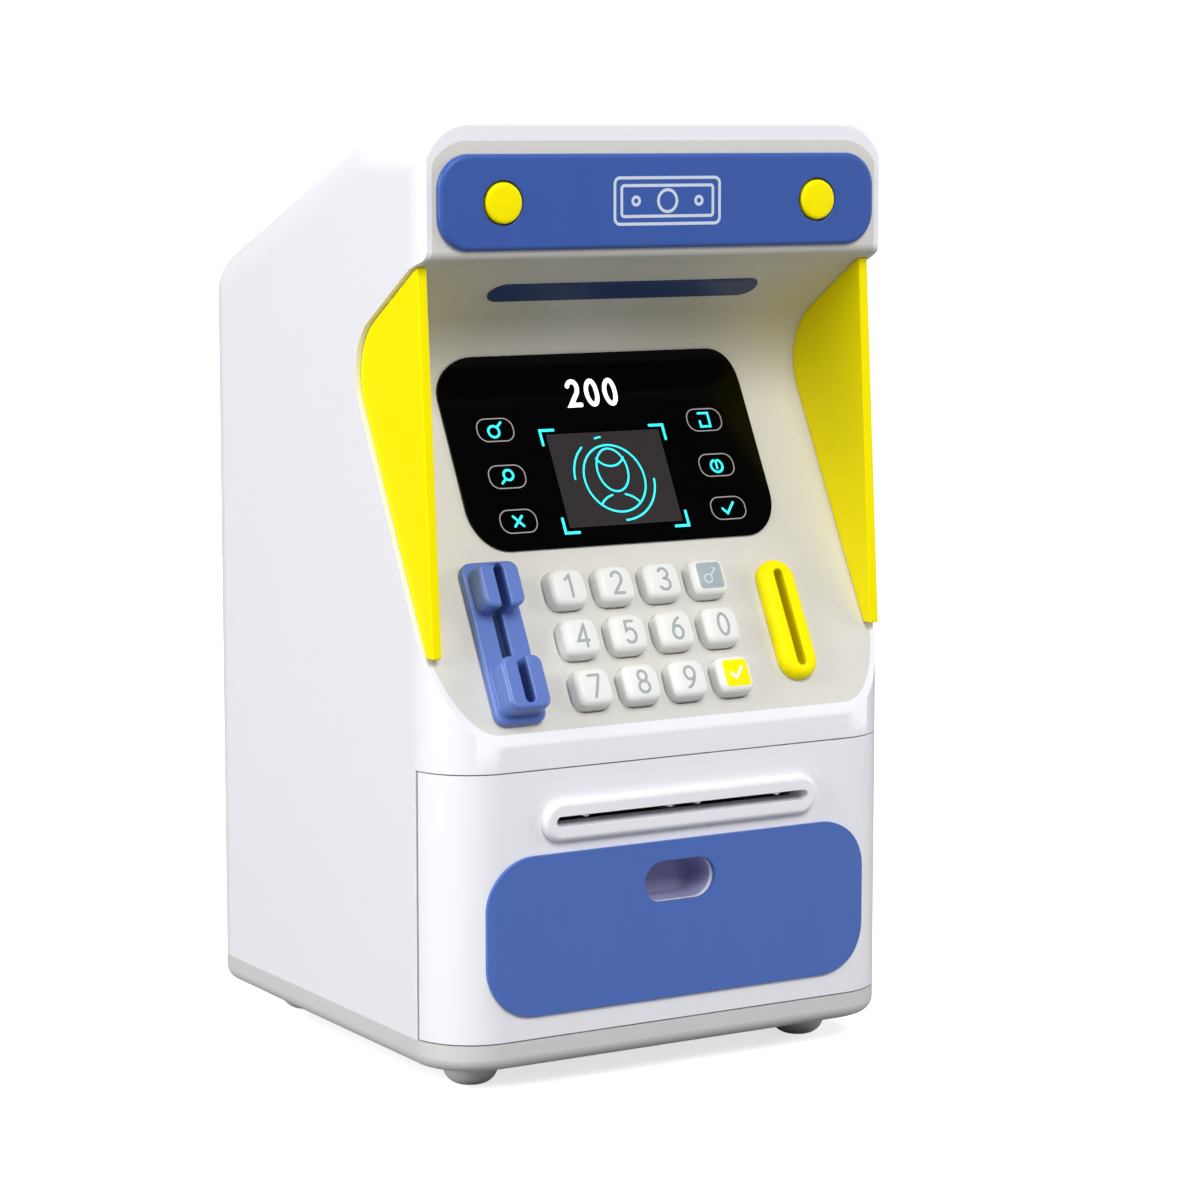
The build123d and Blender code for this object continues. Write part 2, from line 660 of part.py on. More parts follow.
# Coin chute: a flat hopper from the coin slot down to the money compartment
CHUTE = ((-63.8, 108.6), (-48.6, 137.4), (-22, 130), (-22, BIN_TOP), (-49.4, BIN_TOP), (-49.4, 97))
with BuildPart() as coin_chute:
    with BuildSketch(Plane.YZ.offset(COIN_X - 3.2)):
        with BuildLine():
            Polyline(*CHUTE, close=True)
        make_face()
    extrude(amount=6.4)
    with BuildSketch(Plane.YZ.offset(COIN_X - 2.0)):
        with BuildLine():
            Polyline(*CHUTE, close=True)
        make_face()
        offset(amount=-1.2, kind=Kind.INTERSECTION)
    extrude(amount=4.0, mode=Mode.SUBTRACT)
    with BuildSketch(panel.offset(-6)):
        with Locations((COIN_X, COIN_T)):
            Rectangle(4.0, 28.5)
    extrude(amount=6, mode=Mode.SUBTRACT)
    with BuildSketch(Plane.XY.offset(BIN_TOP)):
        with Locations((COIN_X, -35.7)):
            Rectangle(4.0, 24.6)
    extrude(amount=3, mode=Mode.SUBTRACT)
save(coin_chute, "coin_chute")

# Note feed: two cheeks hung from the compartment's ceiling, a driven and a pinch roller
drive_z = SLOT_Z - ROLLER_RADIUS - 0.2
pinch_z = SLOT_Z + ROLLER_RADIUS + 0.2 - 1.4
PINCH_RADIUS = 3.6
MOTOR_Y = ROLLER_Y + 10.6
centre_distance = GEAR_MODULE * (GEAR_TEETH + PINION_TEETH) / 2 + 0.15
MOTOR_Z = drive_z + math.sqrt(centre_distance**2 - (MOTOR_Y - ROLLER_Y) ** 2)
CHEEK_X = 43.0
ROLLER_X = 24.0
ROLLER_LENGTH = 10.0
SHAFT_RADIUS = 1.5
roller_axes = ((ROLLER_Y, drive_z), (ROLLER_Y, pinch_z))
with BuildPart() as feed_bracket:
    for low_x in (-CHEEK_X - 1.6, CHEEK_X):
        with BuildSketch(Plane.YZ.offset(low_x)):
            with BuildLine():
                Polyline((-60, 66), (-36, 66), (-36, BIN_TOP - 1.5), (-60, BIN_TOP - 1.5), close=True)
            make_face()
            with Locations(*roller_axes):
                Circle(SHAFT_RADIUS + PIN_PLAY, mode=Mode.SUBTRACT)
            with Locations((MOTOR_Y, MOTOR_Z)):
                Circle(3.0, mode=Mode.SUBTRACT)
        extrude(amount=1.6)
    with BuildSketch(Plane.XY.offset(BIN_TOP - 3.1)):
        with Locations((0, -45)):
            Rectangle(2 * CHEEK_X + 3.2, 8)
    extrude(amount=1.6)
save(feed_bracket, "feed_bracket")


def across(x, y, z):
    """A plane across the cabinet whose origin is a shaft's centre."""
    return Plane(origin=(x, y, z), x_dir=(0, 1, 0), z_dir=(1, 0, 0))


def gear_outline(teeth, phase):
    """A spur gear's outline, with slim teeth that leave backlash in the mesh."""
    root = GEAR_MODULE * (teeth / 2 - 1.0)
    tip = GEAR_MODULE * (teeth / 2 + 0.7)
    step = 2 * math.pi / teeth
    points = []
    for tooth in range(teeth):
        middle = phase + tooth * step
        for share, radius in ((-0.26, root), (-0.09, tip), (0.09, tip), (0.26, root)):
            angle = middle + share * step
            points.append((radius * math.cos(angle), radius * math.sin(angle)))
    return points


mesh_angle = math.atan2(MOTOR_Z - drive_z, MOTOR_Y - ROLLER_Y)
with BuildPart() as drive_roller:
    with BuildSketch(Plane.YZ.offset(-CHEEK_X - 5.5)):
        with Locations((ROLLER_Y, drive_z)):
            Circle(SHAFT_RADIUS)
    extrude(amount=2 * CHEEK_X + 9)
    with BuildSketch(across(-CHEEK_X - 4.6, ROLLER_Y, drive_z)):
        with BuildLine():
            Polyline(*gear_outline(GEAR_TEETH, mesh_angle), close=True)
        make_face()
    extrude(amount=2.4)
save(drive_roller, "drive_roller")
with BuildPart() as roller_tyres:
    for x in (-ROLLER_X, ROLLER_X):
        with BuildSketch(Plane.YZ.offset(x - ROLLER_LENGTH / 2)):
            with Locations((ROLLER_Y, drive_z)):
                Circle(ROLLER_RADIUS)
                Circle(SHAFT_RADIUS, mode=Mode.SUBTRACT)
        extrude(amount=ROLLER_LENGTH)
save(roller_tyres, "roller_tyres")
with BuildPart() as pinch_roller:
    with BuildSketch(Plane.YZ.offset(-CHEEK_X - 1.4)):
        with Locations((ROLLER_Y, pinch_z)):
            Circle(SHAFT_RADIUS)
    extrude(amount=2 * CHEEK_X + 2.8)
    for x in (-ROLLER_X, ROLLER_X):
        with BuildSketch(Plane.YZ.offset(x - ROLLER_LENGTH / 2)):
            with Locations((ROLLER_Y, pinch_z)):
                Circle(PINCH_RADIUS)
        extrude(amount=ROLLER_LENGTH)
save(pinch_roller, "pinch_roller")
with BuildPart() as feed_motor:
    with BuildSketch(Plane.YZ.offset(-CHEEK_X - 21)):
        with Locations((MOTOR_Y, MOTOR_Z)):
            Circle(8)
    extrude(amount=15.4)
    with BuildSketch(Plane.YZ.offset(-CHEEK_X - 5.6)):
        with Locations((MOTOR_Y, MOTOR_Z)):
            Circle(2.0)
            Circle(1.05, mode=Mode.SUBTRACT)
    extrude(amount=0.5)
save(feed_motor, "feed_motor")
with BuildPart() as motor_pinion:
    with BuildSketch(across(-CHEEK_X - 4.6, MOTOR_Y, MOTOR_Z)):
        with BuildLine():
            Polyline(*gear_outline(PINION_TEETH, mesh_angle + math.pi * 1.1), close=True)
        make_face()
    extrude(amount=2.4)
    with BuildSketch(Plane.YZ.offset(-CHEEK_X - 5.4)):
        with Locations((MOTOR_Y, MOTOR_Z)):
            Circle(1.0)
    extrude(amount=5)
save(motor_pinion, "motor_pinion")

# Battery compartment for three cells under the cabinet
CELL_RADIUS = 7.25
CELL_LENGTH = 50.5
CELL_Z = 19.0
CELL_PLACES = [(0, BATTERY_Y - 16, CELL_Z), (0, BATTERY_Y, CELL_Z), (0, BATTERY_Y + 16, CELL_Z)]
with BuildPart() as battery_box:
    with BuildSketch(Plane.XY.offset(TRAY_FLOOR)):
        with Locations((0, BATTERY_Y)):
            Rectangle(62, 57)
    extrude(amount=1.5)
    with BuildSketch(Plane.XY.offset(TRAY_FLOOR)):
        with Locations((0, BATTERY_Y)):
            Rectangle(57, 52)
    extrude(amount=18)
    with BuildSketch(Plane.XY.offset(TRAY_FLOOR)):
        with Locations((0, BATTERY_Y)):
            Rectangle(54, 49)
    extrude(amount=16.5, mode=Mode.SUBTRACT)
save(battery_box, "battery_box")
with BuildPart() as batteries:
    for x, y, z in CELL_PLACES:
        with BuildSketch(Plane.YZ.offset(-CELL_LENGTH / 2)):
            with Locations((y, z)):
                Circle(CELL_RADIUS)
        extrude(amount=CELL_LENGTH - 1)
        with BuildSketch(Plane.YZ.offset(CELL_LENGTH / 2 - 1)):
            with Locations((y, z)):
                Circle(2.7)
        extrude(amount=1)
save(batteries, "batteries")
with BuildPart() as battery_contacts:
    for low_x in (-26.6, 25.6):
        for x, y, z in CELL_PLACES:
            with BuildSketch(Plane.YZ.offset(low_x)):
                with Locations((y, z)):
                    RectangleRounded(10, 11, 1)
            extrude(amount=1.0)
save(battery_contacts, "battery_contacts")
with BuildPart() as battery_cover:
    with BuildSketch(Plane.XY.offset(TRAY_BOTTOM)):
        with Locations((0, BATTERY_Y)):
            RectangleRounded(61.4, 56.4, 1.5)
    extrude(amount=1.4)
save(battery_cover, "battery_cover")

# Main board, speaker and power switch on the rear cover
with BuildPart() as main_board:
    with BuildSketch(front.offset(-BOARD_Y)):
        with Locations((0, 140)):
            RectangleRounded(78, 80, 2)
    extrude(amount=1.6)
    with BuildSketch(front.offset(-BOARD_Y + 1.6)):
        with Locations((0, 150)):
            Rectangle(18, 18)
        with Locations((-22, 120), (22, 118)):
            Rectangle(9, 7)
    extrude(amount=2.0)
    with BuildSketch(front.offset(-BOARD_Y + 1.6)):
        with Locations((-24, 158), (24, 160), (24, 146)):
            Circle(3.2)
    extrude(amount=8.0)
save(main_board, "main_board")
with BuildPart() as speaker:
    with BuildSketch(front.offset(-BACK_Y + WALL)):
        with Locations((0, SPEAKER_Z)):
            Circle(20)
            Circle(17, mode=Mode.SUBTRACT)
    extrude(amount=2.5)
    with BuildSketch(front.offset(-BACK_Y + WALL + 2.5)):
        with Locations((0, SPEAKER_Z)):
            Circle(19)
    extrude(amount=5, taper=40)
    with BuildSketch(front.offset(-BACK_Y + WALL + 7.5)):
        with Locations((0, SPEAKER_Z)):
            Circle(10)
    extrude(amount=5)
save(speaker, "speaker")
with BuildPart() as power_switch:
    with BuildSketch(front.offset(-BACK_Y + WALL)):
        with Locations((SWITCH_X, SWITCH_Z)):
            Rectangle(15, 8)
    extrude(amount=8)
    with BuildSketch(front.offset(-BACK_Y + WALL)):
        with Locations((SWITCH_X, SWITCH_Z)):
            Rectangle(10, 4.4)
    extrude(amount=4, mode=Mode.SUBTRACT)
save(power_switch, "power_switch")
with BuildPart() as switch_knob:
    with BuildSketch(front.offset(-BACK_Y + 0.4)):
        with Locations((SWITCH_X - 2.6, SWITCH_Z)):
            Rectangle(4, 3.8)
    extrude(amount=5.4)
save(switch_knob, "switch_knob")

# Screws
with BuildPart() as case_screws:
    with BuildSketch(front.offset(-BACK_Y)):
        with Locations(*REAR_SCREWS):
            Circle(2.6)
    extrude(amount=1.5)
    with BuildSketch(front.offset(-BACK_Y + 1.5)):
        with Locations(*REAR_SCREWS):
            Circle(SCREW_RADIUS)
    extrude(amount=6)
    with BuildSketch(Plane.XY.offset(TRAY_BOTTOM + 0.3)):
        with Locations(*TRAY_SCREWS):
            Circle(2.6)
    extrude(amount=1.5)
    with BuildSketch(Plane.XY.offset(TRAY_BOTTOM + 1.8)):
        with Locations(*TRAY_SCREWS):
            Circle(SCREW_RADIUS)
    extrude(amount=14)
save(case_screws, "case_screws")
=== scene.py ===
"""Looks of a toy cash-machine savings bank, built around its fixed CAD frame.

Run as a script, it registers its operators, calls them in order and finishes the frame.
Everything is in metres, +Z up, with the front towards -Y."""

import json
import math

import bmesh
import bpy
from bpy.props import FloatProperty, FloatVectorProperty, IntProperty, PointerProperty
from bpy.types import Operator, Panel, PropertyGroup
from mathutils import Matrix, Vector
from mathutils.geometry import tessellate_polygon

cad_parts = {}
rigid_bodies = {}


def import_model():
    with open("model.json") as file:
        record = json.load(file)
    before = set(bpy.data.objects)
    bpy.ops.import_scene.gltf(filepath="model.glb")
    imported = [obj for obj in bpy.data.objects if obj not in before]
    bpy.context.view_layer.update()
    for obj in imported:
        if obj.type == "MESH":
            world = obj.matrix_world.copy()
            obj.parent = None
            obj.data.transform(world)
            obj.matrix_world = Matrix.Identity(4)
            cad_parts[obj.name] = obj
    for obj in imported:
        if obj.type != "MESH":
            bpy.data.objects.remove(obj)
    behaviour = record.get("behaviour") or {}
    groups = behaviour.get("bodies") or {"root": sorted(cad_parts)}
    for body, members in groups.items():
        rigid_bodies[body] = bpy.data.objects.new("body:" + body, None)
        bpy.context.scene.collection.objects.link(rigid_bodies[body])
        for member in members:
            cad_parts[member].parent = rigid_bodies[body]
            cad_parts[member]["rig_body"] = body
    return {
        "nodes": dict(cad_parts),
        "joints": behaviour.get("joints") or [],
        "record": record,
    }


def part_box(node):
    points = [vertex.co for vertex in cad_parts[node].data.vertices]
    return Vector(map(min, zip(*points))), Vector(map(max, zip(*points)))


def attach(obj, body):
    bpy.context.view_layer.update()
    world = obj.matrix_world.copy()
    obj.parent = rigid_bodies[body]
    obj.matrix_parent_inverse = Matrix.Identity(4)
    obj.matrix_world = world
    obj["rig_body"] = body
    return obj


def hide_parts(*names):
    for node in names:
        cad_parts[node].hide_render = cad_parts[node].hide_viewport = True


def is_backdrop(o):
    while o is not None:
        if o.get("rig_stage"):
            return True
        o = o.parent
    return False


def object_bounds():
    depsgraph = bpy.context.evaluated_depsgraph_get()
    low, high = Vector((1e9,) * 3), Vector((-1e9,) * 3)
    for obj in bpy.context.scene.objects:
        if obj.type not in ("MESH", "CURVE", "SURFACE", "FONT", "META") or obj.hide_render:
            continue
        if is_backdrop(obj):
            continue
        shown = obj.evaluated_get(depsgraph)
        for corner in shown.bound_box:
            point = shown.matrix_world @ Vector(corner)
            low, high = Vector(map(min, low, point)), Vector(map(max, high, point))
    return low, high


bl_info = {
    "name": "Toy cash machine",
    "version": (1, 0, 0),
    "blender": (4, 5, 0),
    "location": "View3D > Sidebar > Cash machine",
    "description": "Builds the looks of a toy cash-machine savings bank around its frame",
    "category": "Object",
}

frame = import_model()
CAD_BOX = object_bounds()
NODES = frame["nodes"]
JOINTS = {joint["name"]: joint for joint in frame["joints"]}

MM = 0.001
ACROSS = Vector((1, 0, 0))
# The keypad's slope: keys go in against its outward normal
SLOPE_OUT = -Vector(JOINTS["key_5_press"]["axis"]).normalized()
SLOPE_UP = SLOPE_OUT.cross(ACROSS)
SLOPE_FOOT = Vector((0, -72.5, 98.3)) * MM
FLAT_LENGTH = 102.0
NOOK_RADIUS = 18.0
LENS_PROUD = 0.6

# The shell's top corners, seen from the front, and the rounding of its edge round the header
HALF_WIDTH = CAD_BOX[1].x
TOP_Z = CAD_BOX[1].z
CORNER_RADIUS = 14.5 * MM
CORNER_CENTRE = (HALF_WIDTH - CORNER_RADIUS, TOP_Z - CORNER_RADIUS)
HEADER_RIM_LOW = 233.0 * MM
HEADER_RIM_ROUNDING = 1.3 * MM

KEY_NAMES = ("key_1", "key_2", "key_3", "key_4", "key_5", "key_6", "key_7", "key_8", "key_9", "key_0")
CAP_NAMES = KEY_NAMES + ("key_code", "key_ok")


def look():
    """The settings that a user changes."""
    return bpy.context.scene.cash_machine


class CashMachineColours(PropertyGroup):
    """Colours of the mouldings and prints"""

    white: FloatVectorProperty(
        name="Cabinet white",
        description="Cool white of the cabinet and door",
        subtype="COLOR",
        size=3,
        min=0,
        max=1,
        default=(0.88, 0.88, 0.925),
    )
    grey: FloatVectorProperty(
        name="Fascia grey",
        description="Warm light grey of the keypad fascia",
        subtype="COLOR",
        size=3,
        min=0,
        max=1,
        default=(0.68, 0.665, 0.625),
    )
    base: FloatVectorProperty(
        name="Base grey",
        description="Grey of the base tray",
        subtype="COLOR",
        size=3,
        min=0,
        max=1,
        default=(0.66, 0.64, 0.635),
    )
    blue: FloatVectorProperty(
        name="Panel blue",
        description="Blue of the header, the door panel and the card reader",
        subtype="COLOR",
        size=3,
        min=0,
        max=1,
        default=(0.076, 0.155, 0.49),
    )
    yellow: FloatVectorProperty(
        name="Trim yellow",
        description="Yellow of the side shields, the lamps and the coin slot",
        subtype="COLOR",
        size=3,
        min=0,
        max=1,
        default=(1.0, 0.86, 0.0),
    )
    cyan: FloatVectorProperty(
        name="Display cyan",
        description="Colour of the lit lines on the screen",
        subtype="COLOR",
        size=3,
        min=0,
        max=1,
        default=(0.02, 0.72, 0.78),
    )


class CashMachineSizes(PropertyGroup):
    """Sizes of what is added to the frame"""

    edge: FloatProperty(
        name="Edge rounding",
        description="Radius of the softened edges on the mouldings",
        default=0.45 * MM,
        min=0,
        max=2 * MM,
        unit="LENGTH",
        precision=5,
    )
    crown: FloatProperty(
        name="Key crown",
        description="Height of the dome on each key",
        default=0.55 * MM,
        min=0,
        max=1.5 * MM,
        unit="LENGTH",
        precision=5,
    )
    print_lift: FloatProperty(
        name="Print thickness",
        description="How far a print stands off the face it is on",
        default=0.04 * MM,
        min=0.01 * MM,
        max=0.3 * MM,
        unit="LENGTH",
        precision=6,
    )
    digit_height: FloatProperty(
        name="Digit height",
        description="Height of the digits on the keys",
        default=6.3 * MM,
        min=2 * MM,
        max=9 * MM,
        unit="LENGTH",
        precision=5,
    )
    cap_rings: IntProperty(
        name="Key smoothness",
        description="Points around each keycap",
        default=72,
        min=24,
        max=160,
    )


class CashMachineStage(PropertyGroup):
    """Floor, camera and lights"""

    camera_place: FloatVectorProperty(
        name="Camera place",
        description="Where the camera stands",
        subtype="TRANSLATION",
        size=3,
        default=(-0.5286, -0.9065, 0.2636),
    )
    camera_turn: FloatProperty(
        name="Camera turn",
        description="Turn of the camera to the right of straight ahead",
        default=math.radians(31.06),
        subtype="ANGLE",
    )
    camera_tilt: FloatProperty(
        name="Camera tilt",
        description="How far the camera looks down",
        default=math.radians(7.45),
        subtype="ANGLE",
    )
    room_light: FloatProperty(
        name="Room light",
        description="Strength of the even light from all round",
        default=0.05,
        min=0,
        max=2,
    )
    lens: FloatProperty(
        name="Lens",
        description="Focal length of the camera on a 36 mm sensor",
        default=107.8,
        min=20,
        max=300,
        unit="CAMERA",
    )


class CashMachineSettings(PropertyGroup):
    """All settings of the toy cash machine"""

    colours: PointerProperty(type=CashMachineColours)
    sizes: PointerProperty(type=CashMachineSizes)
    stage: PointerProperty(type=CashMachineStage)


# ---- Shader groups


def new_group(name, inputs, outputs):
    """A shader node group with the given sockets, and its input and output nodes."""
    tree = bpy.data.node_groups.new(name, "ShaderNodeTree")
    for label, kind, default in inputs:
        socket = tree.interface.new_socket(label, in_out="INPUT", socket_type=kind)
        socket.default_value = default
    for label, kind in outputs:
        tree.interface.new_socket(label, in_out="OUTPUT", socket_type=kind)
    source = tree.nodes.new("NodeGroupInput")
    source.location = (-900, 0)
    sink = tree.nodes.new("NodeGroupOutput")
    sink.location = (700, 0)
    return tree, source, sink


def node(tree, kind, place, inputs=None, **settings):
    """Adds a node, sets its properties, and fills or links its inputs."""
    made = tree.nodes.new(kind)
    made.location = place
    for key, value in settings.items():
        setattr(made, key, value)
    for key, value in (inputs or {}).items():
        socket = made.inputs[key]
        if isinstance(value, bpy.types.NodeSocket):
            tree.links.new(value, socket)
        else:
            socket.default_value = value
    return made


def noise(tree, place, vector, scale, detail=2.0, roughness=0.5):
    """A noise texture on the given coordinates."""
    inputs = {"Vector": vector, "Scale": scale, "Detail": detail, "Roughness": roughness}
    return node(tree, "ShaderNodeTexNoise", place, inputs).outputs["Fac"]


def moulding_group():
    """Moulded plastic: a fine spark-eroded grain, faint flow mottling and handling marks."""
    name = "Moulded surface"
    if name in bpy.data.node_groups:
        return bpy.data.node_groups[name]
    tree, source, sink = new_group(
        name,
        (
            ("Color", "NodeSocketColor", (0.8, 0.8, 0.8, 1)),
            ("Grain Size", "NodeSocketFloat", 2600.0),
            ("Grain", "NodeSocketFloat", 1.0),
            ("Mottle", "NodeSocketFloat", 0.02),
            ("Roughness", "NodeSocketFloat", 0.4),
            ("Marks", "NodeSocketFloat", 0.05),
        ),
        (("Color", "NodeSocketColor"), ("Roughness", "NodeSocketFloat"), ("Height", "NodeSocketFloat")),
    )
    place = node(tree, "ShaderNodeTexCoord", (-900, -300)).outputs["Object"]
    grain = noise(tree, (-500, -100), place, source.outputs["Grain Size"], 3.0, 0.6)
    cloud = noise(tree, (-500, -300), place, 38.0, 3.0)
    flow = node(
        tree, "ShaderNodeMapping", (-700, -500), {"Vector": place, "Scale": (1.0, 1.0, 0.35)}
    ).outputs["Vector"]
    streak = noise(tree, (-500, -500), flow, 210.0, 4.0, 0.7)
    tone = node(
        tree, "ShaderNodeMath", (-250, -300), {0: cloud, 1: streak}, operation="ADD"
    ).outputs[0]
    centred = node(tree, "ShaderNodeMath", (-80, -300), {0: tone, 1: 1.0}, operation="SUBTRACT")
    scaled = node(
        tree,
        "ShaderNodeMath",
        (90, -300),
        {0: centred.outputs[0], 1: source.outputs["Mottle"]},
        operation="MULTIPLY",
    )
    value = node(tree, "ShaderNodeMath", (250, -300), {0: scaled.outputs[0], 1: 1.0}, operation="ADD")
    tinted = node(
        tree,
        "ShaderNodeHueSaturation",
        (430, 100),
        {"Color": source.outputs["Color"], "Value": value.outputs[0]},
    )
    marks = noise(tree, (-500, -700), flow, 95.0, 6.0, 0.75)
    spread = node(tree, "ShaderNodeMath", (-250, -700), {0: marks, 1: 0.5}, operation="SUBTRACT")
    rough = node(
        tree,
        "ShaderNodeMath",
        (-80, -700),
        {0: spread.outputs[0], 1: source.outputs["Marks"], 2: source.outputs["Roughness"]},
        operation="MULTIPLY_ADD",
    )
    height = node(
        tree,
        "ShaderNodeMath",
        (-80, -100),
        {0: grain, 1: source.outputs["Grain"]},
        operation="MULTIPLY",
    )
    tree.links.new(tinted.outputs["Color"], sink.inputs["Color"])
    tree.links.new(rough.outputs[0], sink.inputs["Roughness"])
    tree.links.new(height.outputs[0], sink.inputs["Height"])
    return tree


def scratch_group():
    """Hairline marks and brushing for polished and metal faces."""
    name = "Fine scratches"
    if name in bpy.data.node_groups:
        return bpy.data.node_groups[name]
    tree, source, sink = new_group(
        name,
        (
            ("Along", "NodeSocketVector", (1.0, 1.0, 0.02)),
            ("Scale", "NodeSocketFloat", 900.0),
            ("Roughness", "NodeSocketFloat", 0.3),
            ("Strength", "NodeSocketFloat", 0.1),
        ),
        (("Roughness", "NodeSocketFloat"), ("Height", "NodeSocketFloat")),
    )
    place = node(tree, "ShaderNodeTexCoord", (-900, -300)).outputs["Object"]
    stretched = node(
        tree,
        "ShaderNodeVectorMath",
        (-700, -100),
        {0: place, 1: source.outputs["Along"]},
        operation="MULTIPLY",
    ).outputs[0]
    lines = noise(tree, (-500, -100), stretched, source.outputs["Scale"], 4.0, 0.65)
    spread = node(tree, "ShaderNodeMath", (-250, -100), {0: lines, 1: 0.5}, operation="SUBTRACT")
    rough = node(
        tree,
        "ShaderNodeMath",
        (0, -100),
        {0: spread.outputs[0], 1: source.outputs["Strength"], 2: source.outputs["Roughness"]},
        operation="MULTIPLY_ADD",
    )
    tree.links.new(rough.outputs[0], sink.inputs["Roughness"])
    tree.links.new(lines, sink.inputs["Height"])
    return tree


def new_material(name):
    """A material with a Principled shader, in place of any plain one that has the name."""
    if name in bpy.data.materials:
        bpy.data.materials[name].name = name + ".plain"
    material = bpy.data.materials.new(name)
    material.use_nodes = True
    tree = material.node_tree
    shader = tree.nodes["Principled BSDF"]
    shader.location = (400, 0)
    return material, tree, shader


def rgba(colour):
    """A colour with full alpha."""
    return (colour[0], colour[1], colour[2], 1.0)


def plastic(
    name, colour, roughness=0.4, grain=0.5, grain_size=2600.0, mottle=0.03, marks=0.1, coat=0.0, gloss=0.5
):
    """A moulded plastic."""
    material, tree, shader = new_material(name)
    group = node(
        tree,
        "ShaderNodeGroup",
        (-200, 0),
        node_tree=moulding_group(),
    )
    group.inputs["Color"].default_value = rgba(colour)
    group.inputs["Grain Size"].default_value = grain_size
    group.inputs["Grain"].default_value = grain
    group.inputs["Mottle"].default_value = mottle
    group.inputs["Roughness"].default_value = roughness
    group.inputs["Marks"].default_value = marks
    bump = node(
        tree,
        "ShaderNodeBump",
        (150, -300),
        {"Height": group.outputs["Height"], "Strength": 0.25, "Distance": 0.00006},
    )
    tree.links.new(group.outputs["Color"], shader.inputs["Base Color"])
    tree.links.new(group.outputs["Roughness"], shader.inputs["Roughness"])
    tree.links.new(bump.outputs["Normal"], shader.inputs["Normal"])
    shader.inputs["IOR"].default_value = 1.5
    shader.inputs["Specular IOR Level"].default_value = gloss
    shader.inputs["Coat Weight"].default_value = coat
    shader.inputs["Coat Roughness"].default_value = 0.12
    return material


def metal(name, colour, roughness, along, scale=900.0):
    """A brushed or drawn metal."""
    material, tree, shader = new_material(name)
    group = node(tree, "ShaderNodeGroup", (-200, 0), node_tree=scratch_group())
    group.inputs["Along"].default_value = along
    group.inputs["Scale"].default_value = scale
    group.inputs["Roughness"].default_value = roughness
    group.inputs["Strength"].default_value = 0.35
    bump = node(
        tree,
        "ShaderNodeBump",
        (150, -300),
        {"Height": group.outputs["Height"], "Strength": 0.2, "Distance": 0.00003},
    )
    shader.inputs["Base Color"].default_value = rgba(colour)
    shader.inputs["Metallic"].default_value = 1.0
    tree.links.new(group.outputs["Roughness"], shader.inputs["Roughness"])
    tree.links.new(bump.outputs["Normal"], shader.inputs["Normal"])
    return material


def polished_black(name):
    """The screen window: back-printed acrylic with faint wiping marks."""
    material, tree, shader = new_material(name)
    group = node(tree, "ShaderNodeGroup", (-200, 0), node_tree=scratch_group())
    group.inputs["Along"].default_value = (0.15, 1.0, 1.0)
    group.inputs["Scale"].default_value = 260.0
    group.inputs["Roughness"].default_value = 0.16
    group.inputs["Strength"].default_value = 0.06
    tree.links.new(group.outputs["Roughness"], shader.inputs["Roughness"])
    surface = node(tree, "ShaderNodeGroup", (-200, 300), node_tree=moulding_group())
    surface.inputs["Color"].default_value = (0.0008, 0.0008, 0.001, 1)
    surface.inputs["Mottle"].default_value = 0.15
    tree.links.new(surface.outputs["Color"], shader.inputs["Base Color"])
    shader.inputs["Specular IOR Level"].default_value = 0.11
    return material


def lit_print(name, colour, strength, roughness=0.5):
    """A lit line or pane on the display, a little uneven like a backlight."""
    material, tree, shader = new_material(name)
    group = node(tree, "ShaderNodeGroup", (-200, 0), node_tree=moulding_group())
    group.inputs["Color"].default_value = rgba(colour)
    group.inputs["Mottle"].default_value = 0.12
    group.inputs["Roughness"].default_value = roughness
    tree.links.new(group.outputs["Color"], shader.inputs["Base Color"])
    tree.links.new(group.outputs["Color"], shader.inputs["Emission Color"])
    tree.links.new(group.outputs["Roughness"], shader.inputs["Roughness"])
    shader.inputs["Emission Strength"].default_value = strength
    return material


